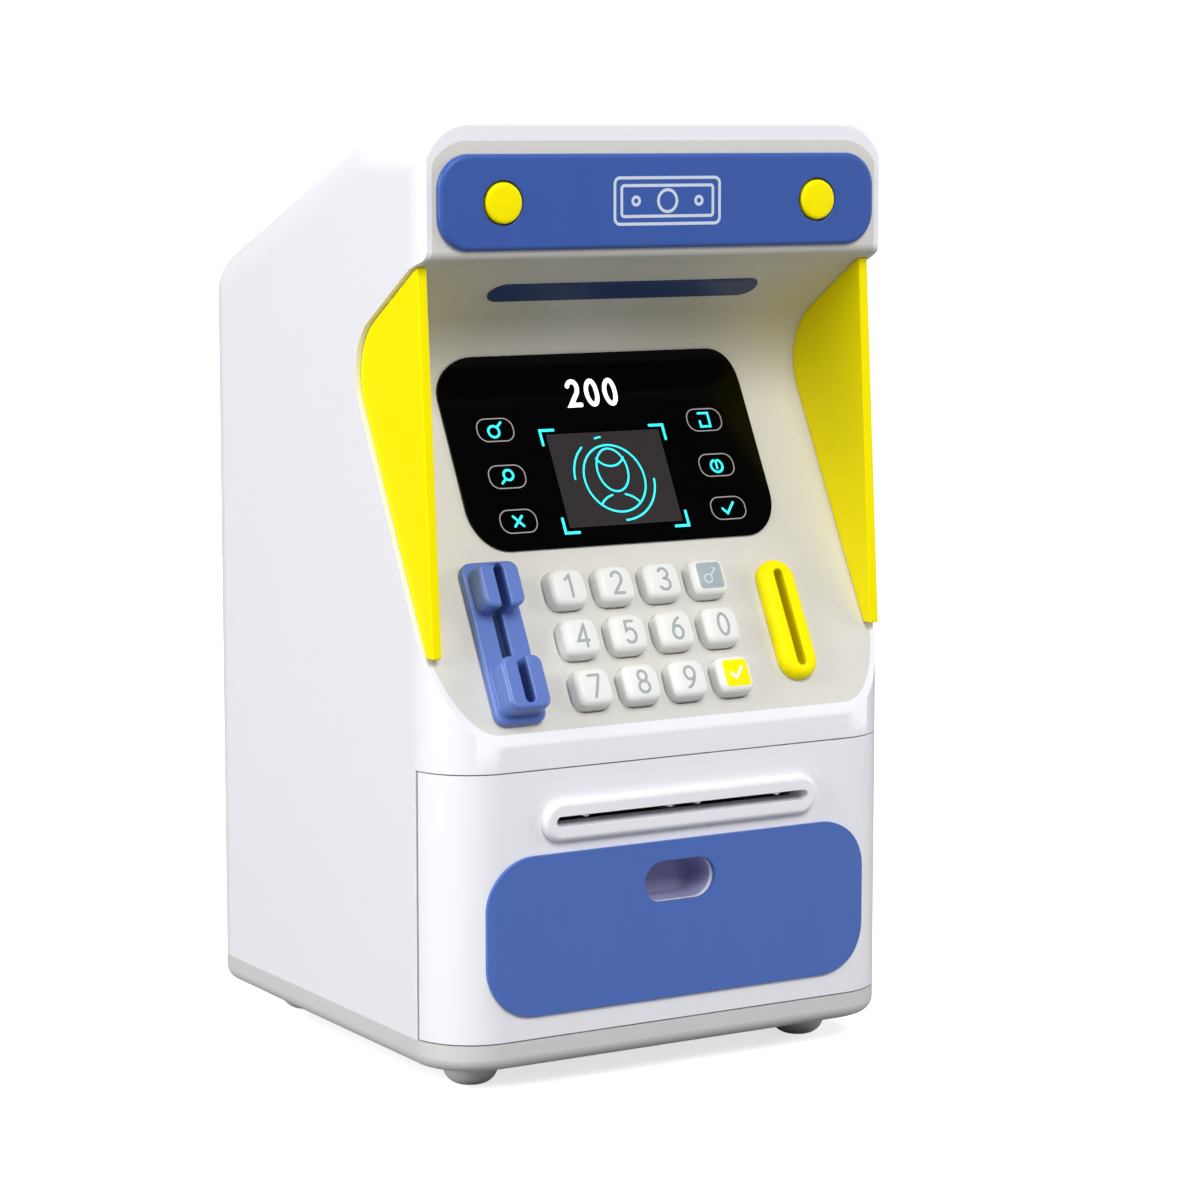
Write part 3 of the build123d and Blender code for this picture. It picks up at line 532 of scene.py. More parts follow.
def build_materials():
    """Makes all finishes: those of the frame's slots, and those of the prints."""
    colours = look().colours
    deep = [share * value for share, value in zip((0.55, 0.66, 0.79), colours.blue)]
    pale = [share * value for share, value in zip((1.4, 1.2, 1.08), colours.blue)]
    # Each plastic's colour, roughness, grain, grain size, mottle, marks, coat and gloss
    plastic("white_shell", colours.white, 0.36, 0.25, 2400, 0.012, 0.12, 0.12)
    plastic("grey_fascia", colours.grey, 0.50, 0.8, 2200, 0.03, 0.15)
    plastic("grey_base", colours.base, 0.52, 0.8, 2200, 0.03, 0.15)
    plastic("blue_trim", colours.blue, 0.40, 0.6, 2200, 0.05, 0.15, 0.0, 0.36)
    plastic("header_blue", deep, 0.40, 0.6, 2200, 0.05, 0.15, 0.0, 0.30)
    plastic("reader_blue", pale, 0.36, 0.6, 2200, 0.05, 0.15, 0.0, 0.5)
    # The finger cup's inside: a darker lilac grey that is painted shade of its deep recess
    plastic("cup_shade", (0.40, 0.40, 0.62), 0.45, 0.4, 2200, 0.03, 0.1)
    plastic("yellow_trim", colours.yellow, 0.45, 0.3, 2400, 0.02, 0.12, 0.0, 0.07)
    plastic("key_white", (0.82, 0.82, 0.80), 0.42, 0.5, 2600, 0.012, 0.1, 0.05)
    plastic("light_lens", (0.022, 0.050, 0.17), 0.45, 0.1, 1800, 0.1, 0.1, 0.0, 0.25)
    plastic("foot_rubber", (0.74, 0.72, 0.74), 0.45, 0.6, 900, 0.08, 0.2)
    plastic("membrane_rubber", (0.30, 0.32, 0.35), 0.6, 0.6, 900, 0.05)
    plastic("inner_plastic", (0.58, 0.58, 0.59), 0.5, 0.9, 1500, 0.05, 0.2)
    plastic("gear_plastic", (0.78, 0.77, 0.70), 0.42, 0.3, 1800, 0.04, 0.1)
    plastic("tyre_rubber", (0.022, 0.022, 0.023), 0.75, 1.0, 1200, 0.2, 0.2)
    plastic("speaker_black", (0.02, 0.02, 0.021), 0.6, 0.8, 1500, 0.2, 0.2)
    plastic("switch_black", (0.018, 0.018, 0.019), 0.45, 0.8, 1800, 0.2, 0.2)
    plastic("circuit_board", (0.02, 0.16, 0.06), 0.35, 0.3, 700, 0.25, 0.1, 0.2)
    plastic("battery_skin", (0.10, 0.11, 0.13), 0.3, 0.2, 1500, 0.1, 0.1, 0.3)
    metal("steel", (0.60, 0.60, 0.61), 0.28, (1.0, 1.0, 0.03))
    polished_black("screen_black")
    plastic("digit_ink", (0.36, 0.41, 0.43), 0.5, 0.3, 2600, 0.03, 0.1)
    plastic("grey_inlay", (0.36, 0.43, 0.46), 0.45, 0.3, 2600, 0.03, 0.1)
    plastic("header_ink", (0.62, 0.69, 0.80), 0.45, 0.3, 2600, 0.03, 0.1)
    plastic("white_ink", (0.88, 0.88, 0.86), 0.45, 0.3, 2600, 0.02, 0.1)
    lit_print("outline_ink", (0.32, 0.29, 0.30), 0.25)
    lit_print("lit_cyan", colours.cyan, 0.75)
    lit_print("lit_white", (0.95, 0.95, 0.95), 0.8)
    lit_print("lcd_pane", (0.022, 0.019, 0.020), 0.6, 0.2)


def finish_of(name):
    """One of the finishes, by name."""
    return bpy.data.materials[name]


# ---- Mesh helpers


def new_piece(name, mesh_points, faces, body, finish, smooth=True):
    """Makes a piece from points and faces, and lets it ride on a body."""
    mesh = bpy.data.meshes.new(name)
    mesh.from_pydata([tuple(p) for p in mesh_points], [], faces)
    mesh.validate()
    if smooth:
        mesh.shade_smooth()
    mesh.materials.append(finish_of(finish))
    piece = bpy.data.objects.new(name, mesh)
    bpy.context.scene.collection.objects.link(piece)
    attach(piece, body)
    return piece


def outward(mesh):
    """Makes a closed mesh's faces point outward."""
    made = bmesh.new()
    made.from_mesh(mesh)
    bmesh.ops.remove_doubles(made, verts=made.verts, dist=1e-7)
    bmesh.ops.recalc_face_normals(made, faces=made.faces)
    made.to_mesh(mesh)
    made.free()


def reach(node_name, axis):
    """The lowest and highest place of a CAD node along an axis."""
    places = [vertex.co.dot(axis) for vertex in NODES[node_name].data.vertices]
    return min(places), max(places)


def on_slope(x, up, out):
    """The point x across, up the slope and out of it, all in millimetres."""
    return SLOPE_FOOT + (ACROSS * x + SLOPE_UP * up + SLOPE_OUT * out) * MM


def on_screen(x, up, out):
    """As on_slope, over the screen window, which bends forward above the flat stretch."""
    out += LENS_PROUD
    if up <= FLAT_LENGTH:
        return on_slope(x, up, out)
    turn = (up - FLAT_LENGTH) / NOOK_RADIUS
    rise = (NOOK_RADIUS - out) * math.sin(turn)
    forward = NOOK_RADIUS - (NOOK_RADIUS - out) * math.cos(turn)
    return on_slope(x, FLAT_LENGTH + rise, forward)


# ---- Line drawings: strokes are lists of (x, y) points in millimetres


def arc(x, y, across, up, start, end, steps=24):
    """Points on an ellipse, from one angle in degrees to another."""
    angles = [math.radians(start + (end - start) * i / steps) for i in range(steps + 1)]
    return [(x + across * math.cos(a), y + up * math.sin(a)) for a in angles]


def line(*points, step=0.8):
    """Straight runs through the points, cut into short pieces."""
    placed = [points[0]]
    for before, after in zip(points, points[1:]):
        length = math.dist(before, after)
        count = max(1, int(length / step))
        for i in range(1, count + 1):
            share = i / count
            placed.append(
                (
                    before[0] + (after[0] - before[0]) * share,
                    before[1] + (after[1] - before[1]) * share,
                )
            )
    return placed


def rounded_box(x, y, width, height, radius):
    """A closed rounded rectangle about a centre."""
    points = []
    half = (width / 2 - radius, height / 2 - radius)
    for sign_x, sign_y, start in ((1, 1, 0), (-1, 1, 90), (-1, -1, 180), (1, -1, 270)):
        centre = (x + sign_x * half[0], y + sign_y * half[1])
        points += arc(*centre, radius, radius, start, start + 90, 8)
    return points


def sides_of(points, half_width, closed):
    """Left and right points along a stroke, with round ends when it is open."""
    count = len(points)
    sides = []
    for i, point in enumerate(points):
        before = points[(i - 1) % count] if closed or i else point
        after = points[(i + 1) % count] if closed or i < count - 1 else point
        first = Vector(point) - Vector(before)
        second = Vector(after) - Vector(point)
        first = first.normalized() if first.length > 1e-9 else second.normalized()
        second = second.normalized() if second.length > 1e-9 else first
        along = (first + second).normalized()
        normal = Vector((-along.y, along.x))
        bend = max(0.45, normal.dot(Vector((-first.y, first.x))))
        sides.append((Vector(point), along, normal * (half_width / bend)))
    pairs = []
    if not closed:
        centre, along, normal = sides[0]
        for angle in (10, 30, 50, 70):
            turn = math.radians(angle)
            offset = centre - along * half_width * math.cos(turn)
            side = normal.normalized() * half_width * math.sin(turn)
            pairs.append((offset + side, offset - side))
    pairs += [(centre + normal, centre - normal) for centre, along, normal in sides]
    if not closed:
        centre, along, normal = sides[-1]
        for angle in (70, 50, 30, 10):
            turn = math.radians(angle)
            offset = centre + along * half_width * math.cos(turn)
            side = normal.normalized() * half_width * math.sin(turn)
            pairs.append((offset + side, offset - side))
    return pairs


def stroke_solid(points, half_width, closed, place, low, high):
    """A thin solid along a stroke: its points and faces, for a surface given by place."""
    verts = []
    for left, right in sides_of(points, half_width, closed):
        verts += [place(left.x, left.y, low), place(left.x, left.y, high)]
        verts += [place(right.x, right.y, high), place(right.x, right.y, low)]
    count = len(verts) // 4
    faces = []
    for i in range(count if closed else count - 1):
        a = 4 * i
        b = 4 * ((i + 1) % count)
        for j in range(4):
            k = (j + 1) % 4
            faces.append((a + j, a + k, b + k, b + j))
    if not closed:
        faces.append((0, 3, 2, 1))
        end = 4 * (count - 1)
        faces.append((end, end + 1, end + 2, end + 3))
    return verts, faces


def pane_solid(outline, place, low, high, step=1.2):
    """A thin filled solid inside a convex outline, cut into rings so that it can bend."""
    centre = Vector((0, 0))
    for point in outline:
        centre += Vector(point)
    centre /= len(outline)
    reach_out = max((Vector(point) - centre).length for point in outline)
    rings = max(1, int(reach_out / step))
    verts = [place(centre.x, centre.y, high), place(centre.x, centre.y, low)]
    count = len(outline)
    for ring in range(1, rings + 1):
        for point in outline:
            spot = centre + (Vector(point) - centre) * ring / rings
            verts.append(place(spot.x, spot.y, high))
    for ring in range(1, rings + 1):
        for point in outline:
            spot = centre + (Vector(point) - centre) * ring / rings
            verts.append(place(spot.x, spot.y, low))
    faces = []
    for side, middle in ((0, 0), (1, 1)):
        base = 2 + side * rings * count
        for i in range(count):
            j = (i + 1) % count
            faces.append((middle, base + i, base + j))
            for ring in range(rings - 1):
                a = base + ring * count
                b = a + count
                faces.append((a + i, b + i, b + j, a + j))
    top = 2 + (rings - 1) * count
    bottom = top + rings * count
    for i in range(count):
        j = (i + 1) % count
        faces.append((top + i, bottom + i, bottom + j, top + j))
    return verts, faces


def join_solids(solids):
    """Several solids' points and faces as one list of each."""
    verts, faces = [], []
    for points, corners in solids:
        start = len(verts)
        verts += points
        faces += [tuple(start + index for index in corner) for corner in corners]
    return verts, faces


def draw(name, strokes, half_width, place, body, finish, low=-0.05, high=None):
    """A print made of strokes; a stroke is (points, closed)."""
    lift = look().sizes.print_lift / MM if high is None else high
    solids = [stroke_solid(points, half_width, closed, place, low, lift) for points, closed in strokes]
    verts, faces = join_solids(solids)
    piece = new_piece(name, verts, faces, body, finish, smooth=False)
    outward(piece.data)
    return piece


def fill(name, outlines, place, body, finish, low=-0.05, high=None):
    """A print made of filled convex panes."""
    lift = look().sizes.print_lift / MM if high is None else high
    verts, faces = join_solids([pane_solid(outline, place, low, lift) for outline in outlines])
    piece = new_piece(name, verts, faces, body, finish, smooth=False)
    outward(piece.data)
    return piece


def digit_strokes(digit):
    """A digit's centre lines in a box 0.6 wide and 1 high, as (points, closed)."""
    drawings = {
        "0": [(arc(0.30, 0.5, 0.27, 0.5, 0, 345), True)],
        "1": [(line((0.10, 0.80), (0.36, 1.0), (0.36, 0.0), step=0.1), False)],
        "2": [
            (
                arc(0.29, 0.72, 0.26, 0.28, 160, -28)
                + line((0.49, 0.51), (0.04, 0.0), (0.57, 0.0), step=0.1),
                False,
            )
        ],
        "3": [
            (arc(0.28, 0.76, 0.25, 0.24, 150, -90), False),
            (arc(0.28, 0.26, 0.29, 0.26, 90, -150), False),
        ],
        "4": [(line((0.60, 0.27), (0.0, 0.27), (0.46, 1.0), (0.46, 0.0), step=0.1), False)],
        "5": [
            (
                line((0.53, 1.0), (0.12, 1.0), (0.08, 0.56), step=0.1)
                + arc(0.27, 0.32, 0.29, 0.32, 118, -140),
                False,
            )
        ],
        "6": [
            (arc(0.30, 0.30, 0.27, 0.30, 0, 345), True),
            (arc(0.66, 0.24, 0.62, 0.76, 107, 172), False),
        ],
        "7": [(line((0.02, 1.0), (0.58, 1.0), (0.20, 0.0), step=0.1), False)],
        "8": [
            (arc(0.30, 0.76, 0.23, 0.24, 0, 345), True),
            (arc(0.30, 0.26, 0.28, 0.26, 0, 345), True),
        ],
    }
    if digit == "9":
        return [([(0.6 - x, 1 - y) for x, y in points], closed) for points, closed in digit_strokes("6")]
    return drawings[digit]


def placed_strokes(strokes, x, y, height, width=None):
    """Unit strokes scaled to a height and centred on a place."""
    across = height if width is None else width / 0.6
    return [
        ([(x + (px - 0.3) * across, y + (py - 0.5) * height) for px, py in points], closed)
        for points, closed in strokes
    ]


# ---- Softened copies of CAD nodes


def soften(node_name, radius=None, segments=2):
    """A copy of a CAD node with its sharp edges rounded, which stands for the node."""
    width = look().sizes.edge if radius is None else radius * MM
    source = NODES[node_name]
    mesh = bpy.data.meshes.new(node_name + ".soft")
    made = bmesh.new()
    made.from_mesh(source.data)
    bmesh.ops.remove_doubles(made, verts=made.verts, dist=2e-6)
    bmesh.ops.dissolve_limit(
        made,
        angle_limit=math.radians(0.6),
        verts=made.verts,
        edges=made.edges,
        delimit=set(),
    )
    if node_name == "main_shell":
        round_header_rim(made)
    made.to_mesh(mesh)
    made.free()
    mesh.shade_smooth()
    piece = bpy.data.objects.new(node_name + ".soft", mesh)
    bpy.context.scene.collection.objects.link(piece)
    rounding = piece.modifiers.new("Rounding", "BEVEL")
    rounding.width = width
    rounding.segments = segments
    rounding.limit_method = "ANGLE"
    rounding.angle_limit = math.radians(38)
    rounding.use_clamp_overlap = True
    rounding.miter_outer = "MITER_ARC"
    shading = piece.modifiers.new("Flat faces stay flat", "WEIGHTED_NORMAL")
    shading.mode = "FACE_AREA_WITH_ANGLE"
    shading.weight = 75
    shading.keep_sharp = True
    depsgraph = bpy.context.evaluated_depsgraph_get()
    shaped = bpy.data.meshes.new_from_object(
        piece.evaluated_get(depsgraph), preserve_all_data_layers=True, depsgraph=depsgraph
    )
    piece.modifiers.clear()
    piece.data = shaped
    slot_name = slot_of(node_name)
    shaped.materials.clear()
    shaped.materials.append(finish_of(OWN_FINISH.get(node_name, slot_name)))
    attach(piece, source["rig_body"])
    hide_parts(node_name)
    return piece


def round_header_rim(made):
    """Rounds the outer front edge of the shell around the header."""
    front = min(vertex.co.y for vertex in made.verts if vertex.co.z > HEADER_RIM_LOW)
    rim = []
    for edge in made.edges:
        ends = [vertex.co for vertex in edge.verts]
        if any(abs(end.y - front) > 0.02 * MM or end.z < HEADER_RIM_LOW for end in ends):
            continue
        middle = (ends[0] + ends[1]) / 2
        straight = abs(middle.x) > HALF_WIDTH - 0.1 * MM or middle.z > TOP_Z - 0.1 * MM
        corner = Vector((abs(middle.x) - CORNER_CENTRE[0], middle.z - CORNER_CENTRE[1]))
        if straight or (min(corner) > 0 and corner.length > CORNER_RADIUS - 0.3 * MM):
            rim.append(edge)
    bmesh.ops.bevel(
        made,
        geom=rim,
        offset=HEADER_RIM_ROUNDING,
        offset_type="OFFSET",
        segments=5,
        profile=0.5,
        affect="EDGES",
        clamp_overlap=True,
    )


def slot_of(node_name):
    """The record's material slot of a CAD node."""
    for row in frame["record"]["subparts"]:
        if row["node"] == node_name:
            return row["material_slot"]
    raise ValueError(f"{node_name} has no material slot")


SOFTENED = (
    ("main_shell", 0.35),
    ("door", 0.35),
    ("fascia", 0.3),
    ("base_tray", 0.4),
    ("door_panel", 0.5),
    ("side_shield_left", 0.5),
    ("side_shield_right", 0.5),
    ("light_bar", 0.3),
    ("screen_lens", 0.35),
    ("rear_cover", 0.4),
    ("battery_cover", 0.4),
    ("finger_cup", 0.3),
    ("bill_bezel", 0.3),
    ("coin_slot", 0.4),
    ("card_reader", 0.45),
    ("header_panel", 0.4),
)


# Mouldings whose colour differs a little from that of their slot; the finger cup's darker lilac grey is
# painted shade of its deep recess
OWN_FINISH = {"header_panel": "header_blue", "card_reader": "reader_blue", "finger_cup": "cup_shade"}


class SoftenMouldings(Operator):
    """Rounds the sharp edges of the mouldings"""

    bl_idname = "cash_machine.soften_mouldings"
    bl_label = "Moulded edges"

    def execute(self, context):
        for name, radius in SOFTENED:
            soften(name, radius)
        return {"FINISHED"}


class FinishFrame(Operator):
    """Gives every CAD node its procedural finish"""

    bl_idname = "cash_machine.finish_frame"
    bl_label = "Finishes"

    def execute(self, context):
        build_materials()
        for name, piece in NODES.items():
            finish = finish_of(slot_of(name))
            if not piece.data.materials:
                piece.data.materials.append(finish)
            for index in range(len(piece.data.materials)):
                piece.data.materials[index] = finish
        return {"FINISHED"}


def cap_outline(count, half_x, half_y, power):
    """A rounded-square ring about the middle."""
    points = []
    for i in range(count):
        angle = 2 * math.pi * i / count
        c, s = math.cos(angle), math.sin(angle)
        points.append(
            (
                half_x * math.copysign(abs(c) ** (2 / power), c),
                half_y * math.copysign(abs(s) ** (2 / power), s),
            )
        )
    return points


def cap_frame(name):
    """A keycap's centre on the slope, in millimetres, and its bottom and top."""
    x_low, x_high = reach(name, ACROSS)
    up_low, up_high = reach(name, SLOPE_UP)
    out_low, out_high = reach(name, SLOPE_OUT)
    foot_up = SLOPE_FOOT.dot(SLOPE_UP)
    foot_out = SLOPE_FOOT.dot(SLOPE_OUT)
    centre = ((x_low + x_high) / 2 / MM, ((up_low + up_high) / 2 - foot_up) / MM)
    return centre, (out_low - foot_out) / MM, (out_high - foot_out) / MM


# A keycap's half sizes, the squareness of its outline, its rounded shoulder, and its flange
CAP_HALF = (5.9, 5.75)
CAP_POWER = 4.4
CAP_SHOULDER = 1.9
FLANGE_SHARE = 1.15
FLANGE_POWER = 5.2
FLANGE_THICKNESS = 1.0


def crown_drop(x, y, crown):
    """How far the cap's top lies below its middle."""
    return crown * ((x / CAP_HALF[0]) ** 2 + (y / CAP_HALF[1]) ** 2) / 1.2


class BuildKeys(Operator):
    """Builds the twelve pillow-shaped keycaps with their retaining flanges"""

    bl_idname = "cash_machine.build_keys"
    bl_label = "Keycaps"

    def execute(self, context):
        count = look().sizes.cap_rings
        crown = look().sizes.crown / MM
        for name in CAP_NAMES:
            centre, bottom, top = cap_frame(name)
            # Rings of share of the half size, height and squareness: flange, wall, shoulder, crown
            rings = [
                (FLANGE_SHARE, bottom, FLANGE_POWER),
                (FLANGE_SHARE, bottom + 0.9 * FLANGE_THICKNESS, FLANGE_POWER),
                (1.0, bottom + FLANGE_THICKNESS, CAP_POWER),
            ]
            wall = top - CAP_SHOULDER - bottom - FLANGE_THICKNESS
            for i in (1, 2, 3):
                rings.append((1.0 - 0.012 * i, bottom + FLANGE_THICKNESS + wall * i / 3, CAP_POWER))
            side = rings[-1][0]
            for i in range(1, 9):
                turn = math.radians(90 * i / 9)
                inward = CAP_SHOULDER * 0.86 * (1 - math.cos(turn)) / CAP_HALF[0]
                height = top - CAP_SHOULDER + CAP_SHOULDER * math.sin(turn)
                share = side - inward
                height -= crown_drop(share * CAP_HALF[0], 0, crown) * math.sin(turn)
                rings.append((share, height, CAP_POWER - 0.1 * i))
            start = rings[-1][0]
            for i in range(1, 7):
                share = start * (1 - i / 7)
                height = top - crown_drop(share * CAP_HALF[0], 0, crown)
                rings.append((share, height, CAP_POWER - 0.8 - 0.25 * i))
            verts = []
            for share, height, power in rings:
                outline = cap_outline(count, CAP_HALF[0] * share, CAP_HALF[1] * share, max(2.0, power))
                for x, y in outline:
                    verts.append(on_slope(centre[0] + x, centre[1] + y, height))
            faces = [tuple(reversed(range(count)))]
            for ring in range(len(rings) - 1):
                for i in range(count):
                    j = (i + 1) % count
                    a, b = ring * count, (ring + 1) * count
                    faces.append((a + i, a + j, b + j, b + i))
            verts.append(on_slope(centre[0], centre[1], top))
            last = (len(rings) - 1) * count
            for i in range(count):
                faces.append((last + i, last + (i + 1) % count, len(verts) - 1))
            body = NODES[name]["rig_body"]
            piece = new_piece(name + ".cap", verts, faces, body, "key_white")
            outward(piece.data)
            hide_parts(name)
        return {"FINISHED"}


def on_cap(name):
    """A surface function for prints on one keycap."""
    centre, bottom, top = cap_frame(name)
    crown = look().sizes.crown / MM

    def place(x, y, out):
        return on_slope(centre[0] + x, centre[1] + y, top - crown_drop(x, y, crown) + out)

    return place


class PrintKeys(Operator):
    """Prints the digits, the code key's inlay and the confirm key's inlay"""

    bl_idname = "cash_machine.print_keys"
    bl_label = "Key prints"

    def execute(self, context):
        height = look().sizes.digit_height / MM
        for name in KEY_NAMES:
            strokes = placed_strokes(digit_strokes(name[-1]), 0, 0, height, height * 0.56)
            body = NODES[name]["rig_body"]
            draw(name + ".digit", strokes, 0.42, on_cap(name), body, "digit_ink")
        for name, finish in (("key_code", "grey_inlay"), ("key_ok", "yellow_trim")):
            body = NODES[name]["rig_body"]
            inlay = [rounded_box(0.1, 0.1, 8.0, 7.8, 1.1)]
            fill(name + ".inlay", inlay, on_cap(name), body, finish, low=-0.4, high=0.12)
        key_drawing = [
            (arc(-0.9, -0.9, 1.25, 1.25, 0, 345), True),
            (line((0.0, 0.0), (2.0, 2.0), step=0.4), False),
            (line((1.2, 2.2), (2.0, 2.0), step=0.3), False),
        ]
        body = NODES["key_code"]["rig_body"]
        draw("key_code.mark", key_drawing, 0.24, on_cap("key_code"), body, "header_ink", low=0.05, high=0.17)
        tick = [(line((-1.9, 0.1), (-0.5, -1.4), (2.1, 1.7), step=0.4), False)]
        body = NODES["key_ok"]["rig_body"]
        draw("key_ok.mark", tick, 0.42, on_cap("key_ok"), body, "white_ink", low=0.05, high=0.17)
        return {"FINISHED"}


# The rear cover's screws, in millimetres across and up
REAR_SCREWS = [(x, z) for x in (-52.0, 52.0) for z in (33.0, 198.0)]

# On the screen, in millimetres across and up the slope: touch outlines and the display
CAPSULE_X = 34.8
CAPSULE_ROWS = (92.4, 78.1, 64.6)
CAPSULE_SIZE = (11.6, 6.9, 3.0)
DISPLAY_CENTRE = (-0.3, 75.8)
DISPLAY_SIZE = (37.4, 28.6)
# The number above the display: its centre, the distance between digits, and a digit's height and width
NUMBER_CENTRE = (-0.5, 102.5)
NUMBER_PITCH = 6.1
NUMBER_SIZE = (7.3, 3.7)


class PrintScreen(Operator):
    """Draws the lit display and the touch symbols on the screen window"""

    bl_idname = "cash_machine.print_screen"
    bl_label = "Screen"

    def execute(self, context):
        body = NODES["screen_lens"]["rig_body"]
        pane = [rounded_box(DISPLAY_CENTRE[0], DISPLAY_CENTRE[1] + 0.1, *DISPLAY_SIZE, 0.3)]
        fill("display_pane", pane, on_screen, body, "lcd_pane", high=0.02)
        capsules = []
        for x in (-CAPSULE_X, CAPSULE_X):
            for up in CAPSULE_ROWS:
                capsules.append((rounded_box(x, up, *CAPSULE_SIZE), True))
        draw("touch_outlines", capsules, 0.16, on_screen, body, "outline_ink")
        number = []
        for place, digit in enumerate("200"):
            x = NUMBER_CENTRE[0] + (place - 1) * NUMBER_PITCH
            number += placed_strokes(digit_strokes(digit), x, NUMBER_CENTRE[1], *NUMBER_SIZE)
        draw("display_number", number, 0.70, on_screen, body, "lit_white", high=0.05)
        draw("display_brackets", self.brackets(), 0.42, on_screen, body, "lit_cyan")
        draw("display_figure", self.figure(), 0.30, on_screen, body, "lit_cyan", high=0.06)
        draw("touch_symbols", self.symbols(), 0.36, on_screen, body, "lit_cyan")
        return {"FINISHED"}

    def brackets(self):
        """Corner brackets round the pane."""
        half_x, half_y, arm = 20.4, 15.7, 4.4
        x, y = DISPLAY_CENTRE
        strokes = []
        for sx in (-1, 1):
            for sy in (-1, 1):
                corner = (x + sx * half_x, y + sy * half_y)
                ends = ((corner[0] - sx * arm, corner[1]), corner, (corner[0], corner[1] - sy * arm))
                strokes.append((line(*ends), False))
        return strokes

    def figure(self):
        """A plain head and shoulders in a scan oval with two broken outer arcs."""
        x, y = DISPLAY_CENTRE
        strokes = [
            (arc(x, y, 9.9, 10.3, 0, 352, 48), True),
            (arc(x, y, 12.9, 12.9, 130, 178), False),
            (arc(x, y, 12.9, 12.9, 96, 104, 4), False),
            (arc(x, y, 12.9, 12.9, -88, -4), False),
            (arc(x, y + 2.6, 5.0, 6.6, 0, 345, 36), True),
            (arc(x, y - 10.0, 7.0, 5.2, 24, 72), False),
            (arc(x, y - 10.0, 7.0, 5.2, 108, 156), False),
            (arc(x, y + 8.2, 4.9, 4.4, 205, 335), False),
        ]
        return strokes

    def symbols(self):
        """One small symbol in each capsule."""
        left, right = -CAPSULE_X, CAPSULE_X
        top, middle, low = CAPSULE_ROWS
        return [
            (arc(left - 0.6, top - 0.5, 1.7, 1.7, 0, 345), True),
            (line((left + 0.7, top + 0.8), (left + 2.2, top + 2.2), step=0.4), False),
            (arc(left + 0.5, middle + 0.5, 1.5, 1.5, 0, 345), True),
            (line((left - 0.6, middle - 0.6), (left - 2.0, middle - 1.9), step=0.4), False),
            (line((left - 1.4, low - 1.5), (left + 1.4, low + 1.5), step=0.4), False),
            (line((left - 1.4, low + 1.5), (left + 1.4, low - 1.5), step=0.4), False),
            (line((right - 1.6, top + 2.1), (right + 1.6, top + 2.1), (right + 1.6, top - 2.1)), False),
            (line((right + 1.6, top - 2.1), (right - 1.6, top - 2.1), (right - 1.6, top - 0.4)), False),
            (arc(right, middle - 0.3, 1.9, 1.9, 110, 430), False),
            (line((right, middle - 1.0), (right, middle + 1.2), step=0.4), False),
            (line((right - 2.0, low - 0.1), (right - 0.6, low - 1.6), (right + 2.0, low + 1.6)), False),
        ]


NOTE_X = 1.0
# A lamp lens stands proud of the header panel, inside a narrow dark gap
LAMP_GAP = 0.45 * MM
LAMP_PROUD = 0.9 * MM
LAMP_POINTS = 64


class BuildHeader(Operator):
    """Builds the header's printed banknote and its two lamp lenses"""

    bl_idname = "cash_machine.build_header"
    bl_label = "Header"

    def execute(self, context):
        low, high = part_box("header_panel")
        face = low.y / MM
        middle_z = (low.z + high.z) / 2 / MM

        def place(x, y, out):
            return Vector((NOTE_X + x, face - out, middle_z + y)) * MM

        note = [
            (rounded_box(0, 0, 34.0, 12.6, 1.6), True),
            (rounded_box(0, 0, 29.6, 8.4, 0.8), True),
            (arc(0, 0, 3.0, 3.0, 0, 350, 36), True),
            (arc(-10.2, 0, 1.1, 1.1, 0, 345, 20), True),
            (arc(10.2, 0, 1.1, 1.1, 0, 345, 20), True),
        ]
        body = NODES["header_panel"]["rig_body"]
        draw("header_banknote", note, 0.42, place, body, "header_ink")
        for name in ("header_lamp_left", "header_lamp_right"):
            self.lamp(name)
        return {"FINISHED"}

    def lamp(self, name):
        """A lamp lens turned from a low dome."""
        low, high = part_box(name)
        centre_x = (low.x + high.x) / 2
        centre_z = (low.z + high.z) / 2
        radius = (high.x - low.x) / 2 - LAMP_GAP
        front_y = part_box("header_panel")[0].y - LAMP_PROUD
        deep = high.y - front_y
        # Rings of share of the radius and share of the depth: barrel, shoulder and low dome
        rings = [(1.0, 0.0), (1.0, 0.70), (0.985, 0.80), (0.95, 0.87), (0.90, 0.915)]
        for angle in range(12, 90, 12):
            turn = math.radians(angle)
            rings.append((0.90 * math.cos(turn), 0.915 + 0.085 * math.sin(turn)))
        count = LAMP_POINTS
        verts = []
        for share, height in rings:
            for i in range(count):
                angle = 2 * math.pi * i / count
                verts.append(
                    Vector(
                        (
                            centre_x + radius * share * math.cos(angle),
                            high.y - deep * height,
                            centre_z + radius * share * math.sin(angle),
                        )
                    )
                )
        faces = [tuple(range(count))]
        for ring in range(len(rings) - 1):
            for i in range(count):
                j = (i + 1) % count
                a, b = ring * count, (ring + 1) * count
                faces.append((a + i, b + i, b + j, a + j))
        verts.append(Vector((centre_x, front_y, centre_z)))
        last = (len(rings) - 1) * count
        for i in range(count):
            faces.append((last + i, last + (i + 1) % count, len(verts) - 1))
        body = NODES[name]["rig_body"]
        piece = new_piece(name + ".lens", verts, faces, body, "yellow_trim")
        outward(piece.data)
        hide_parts(name)


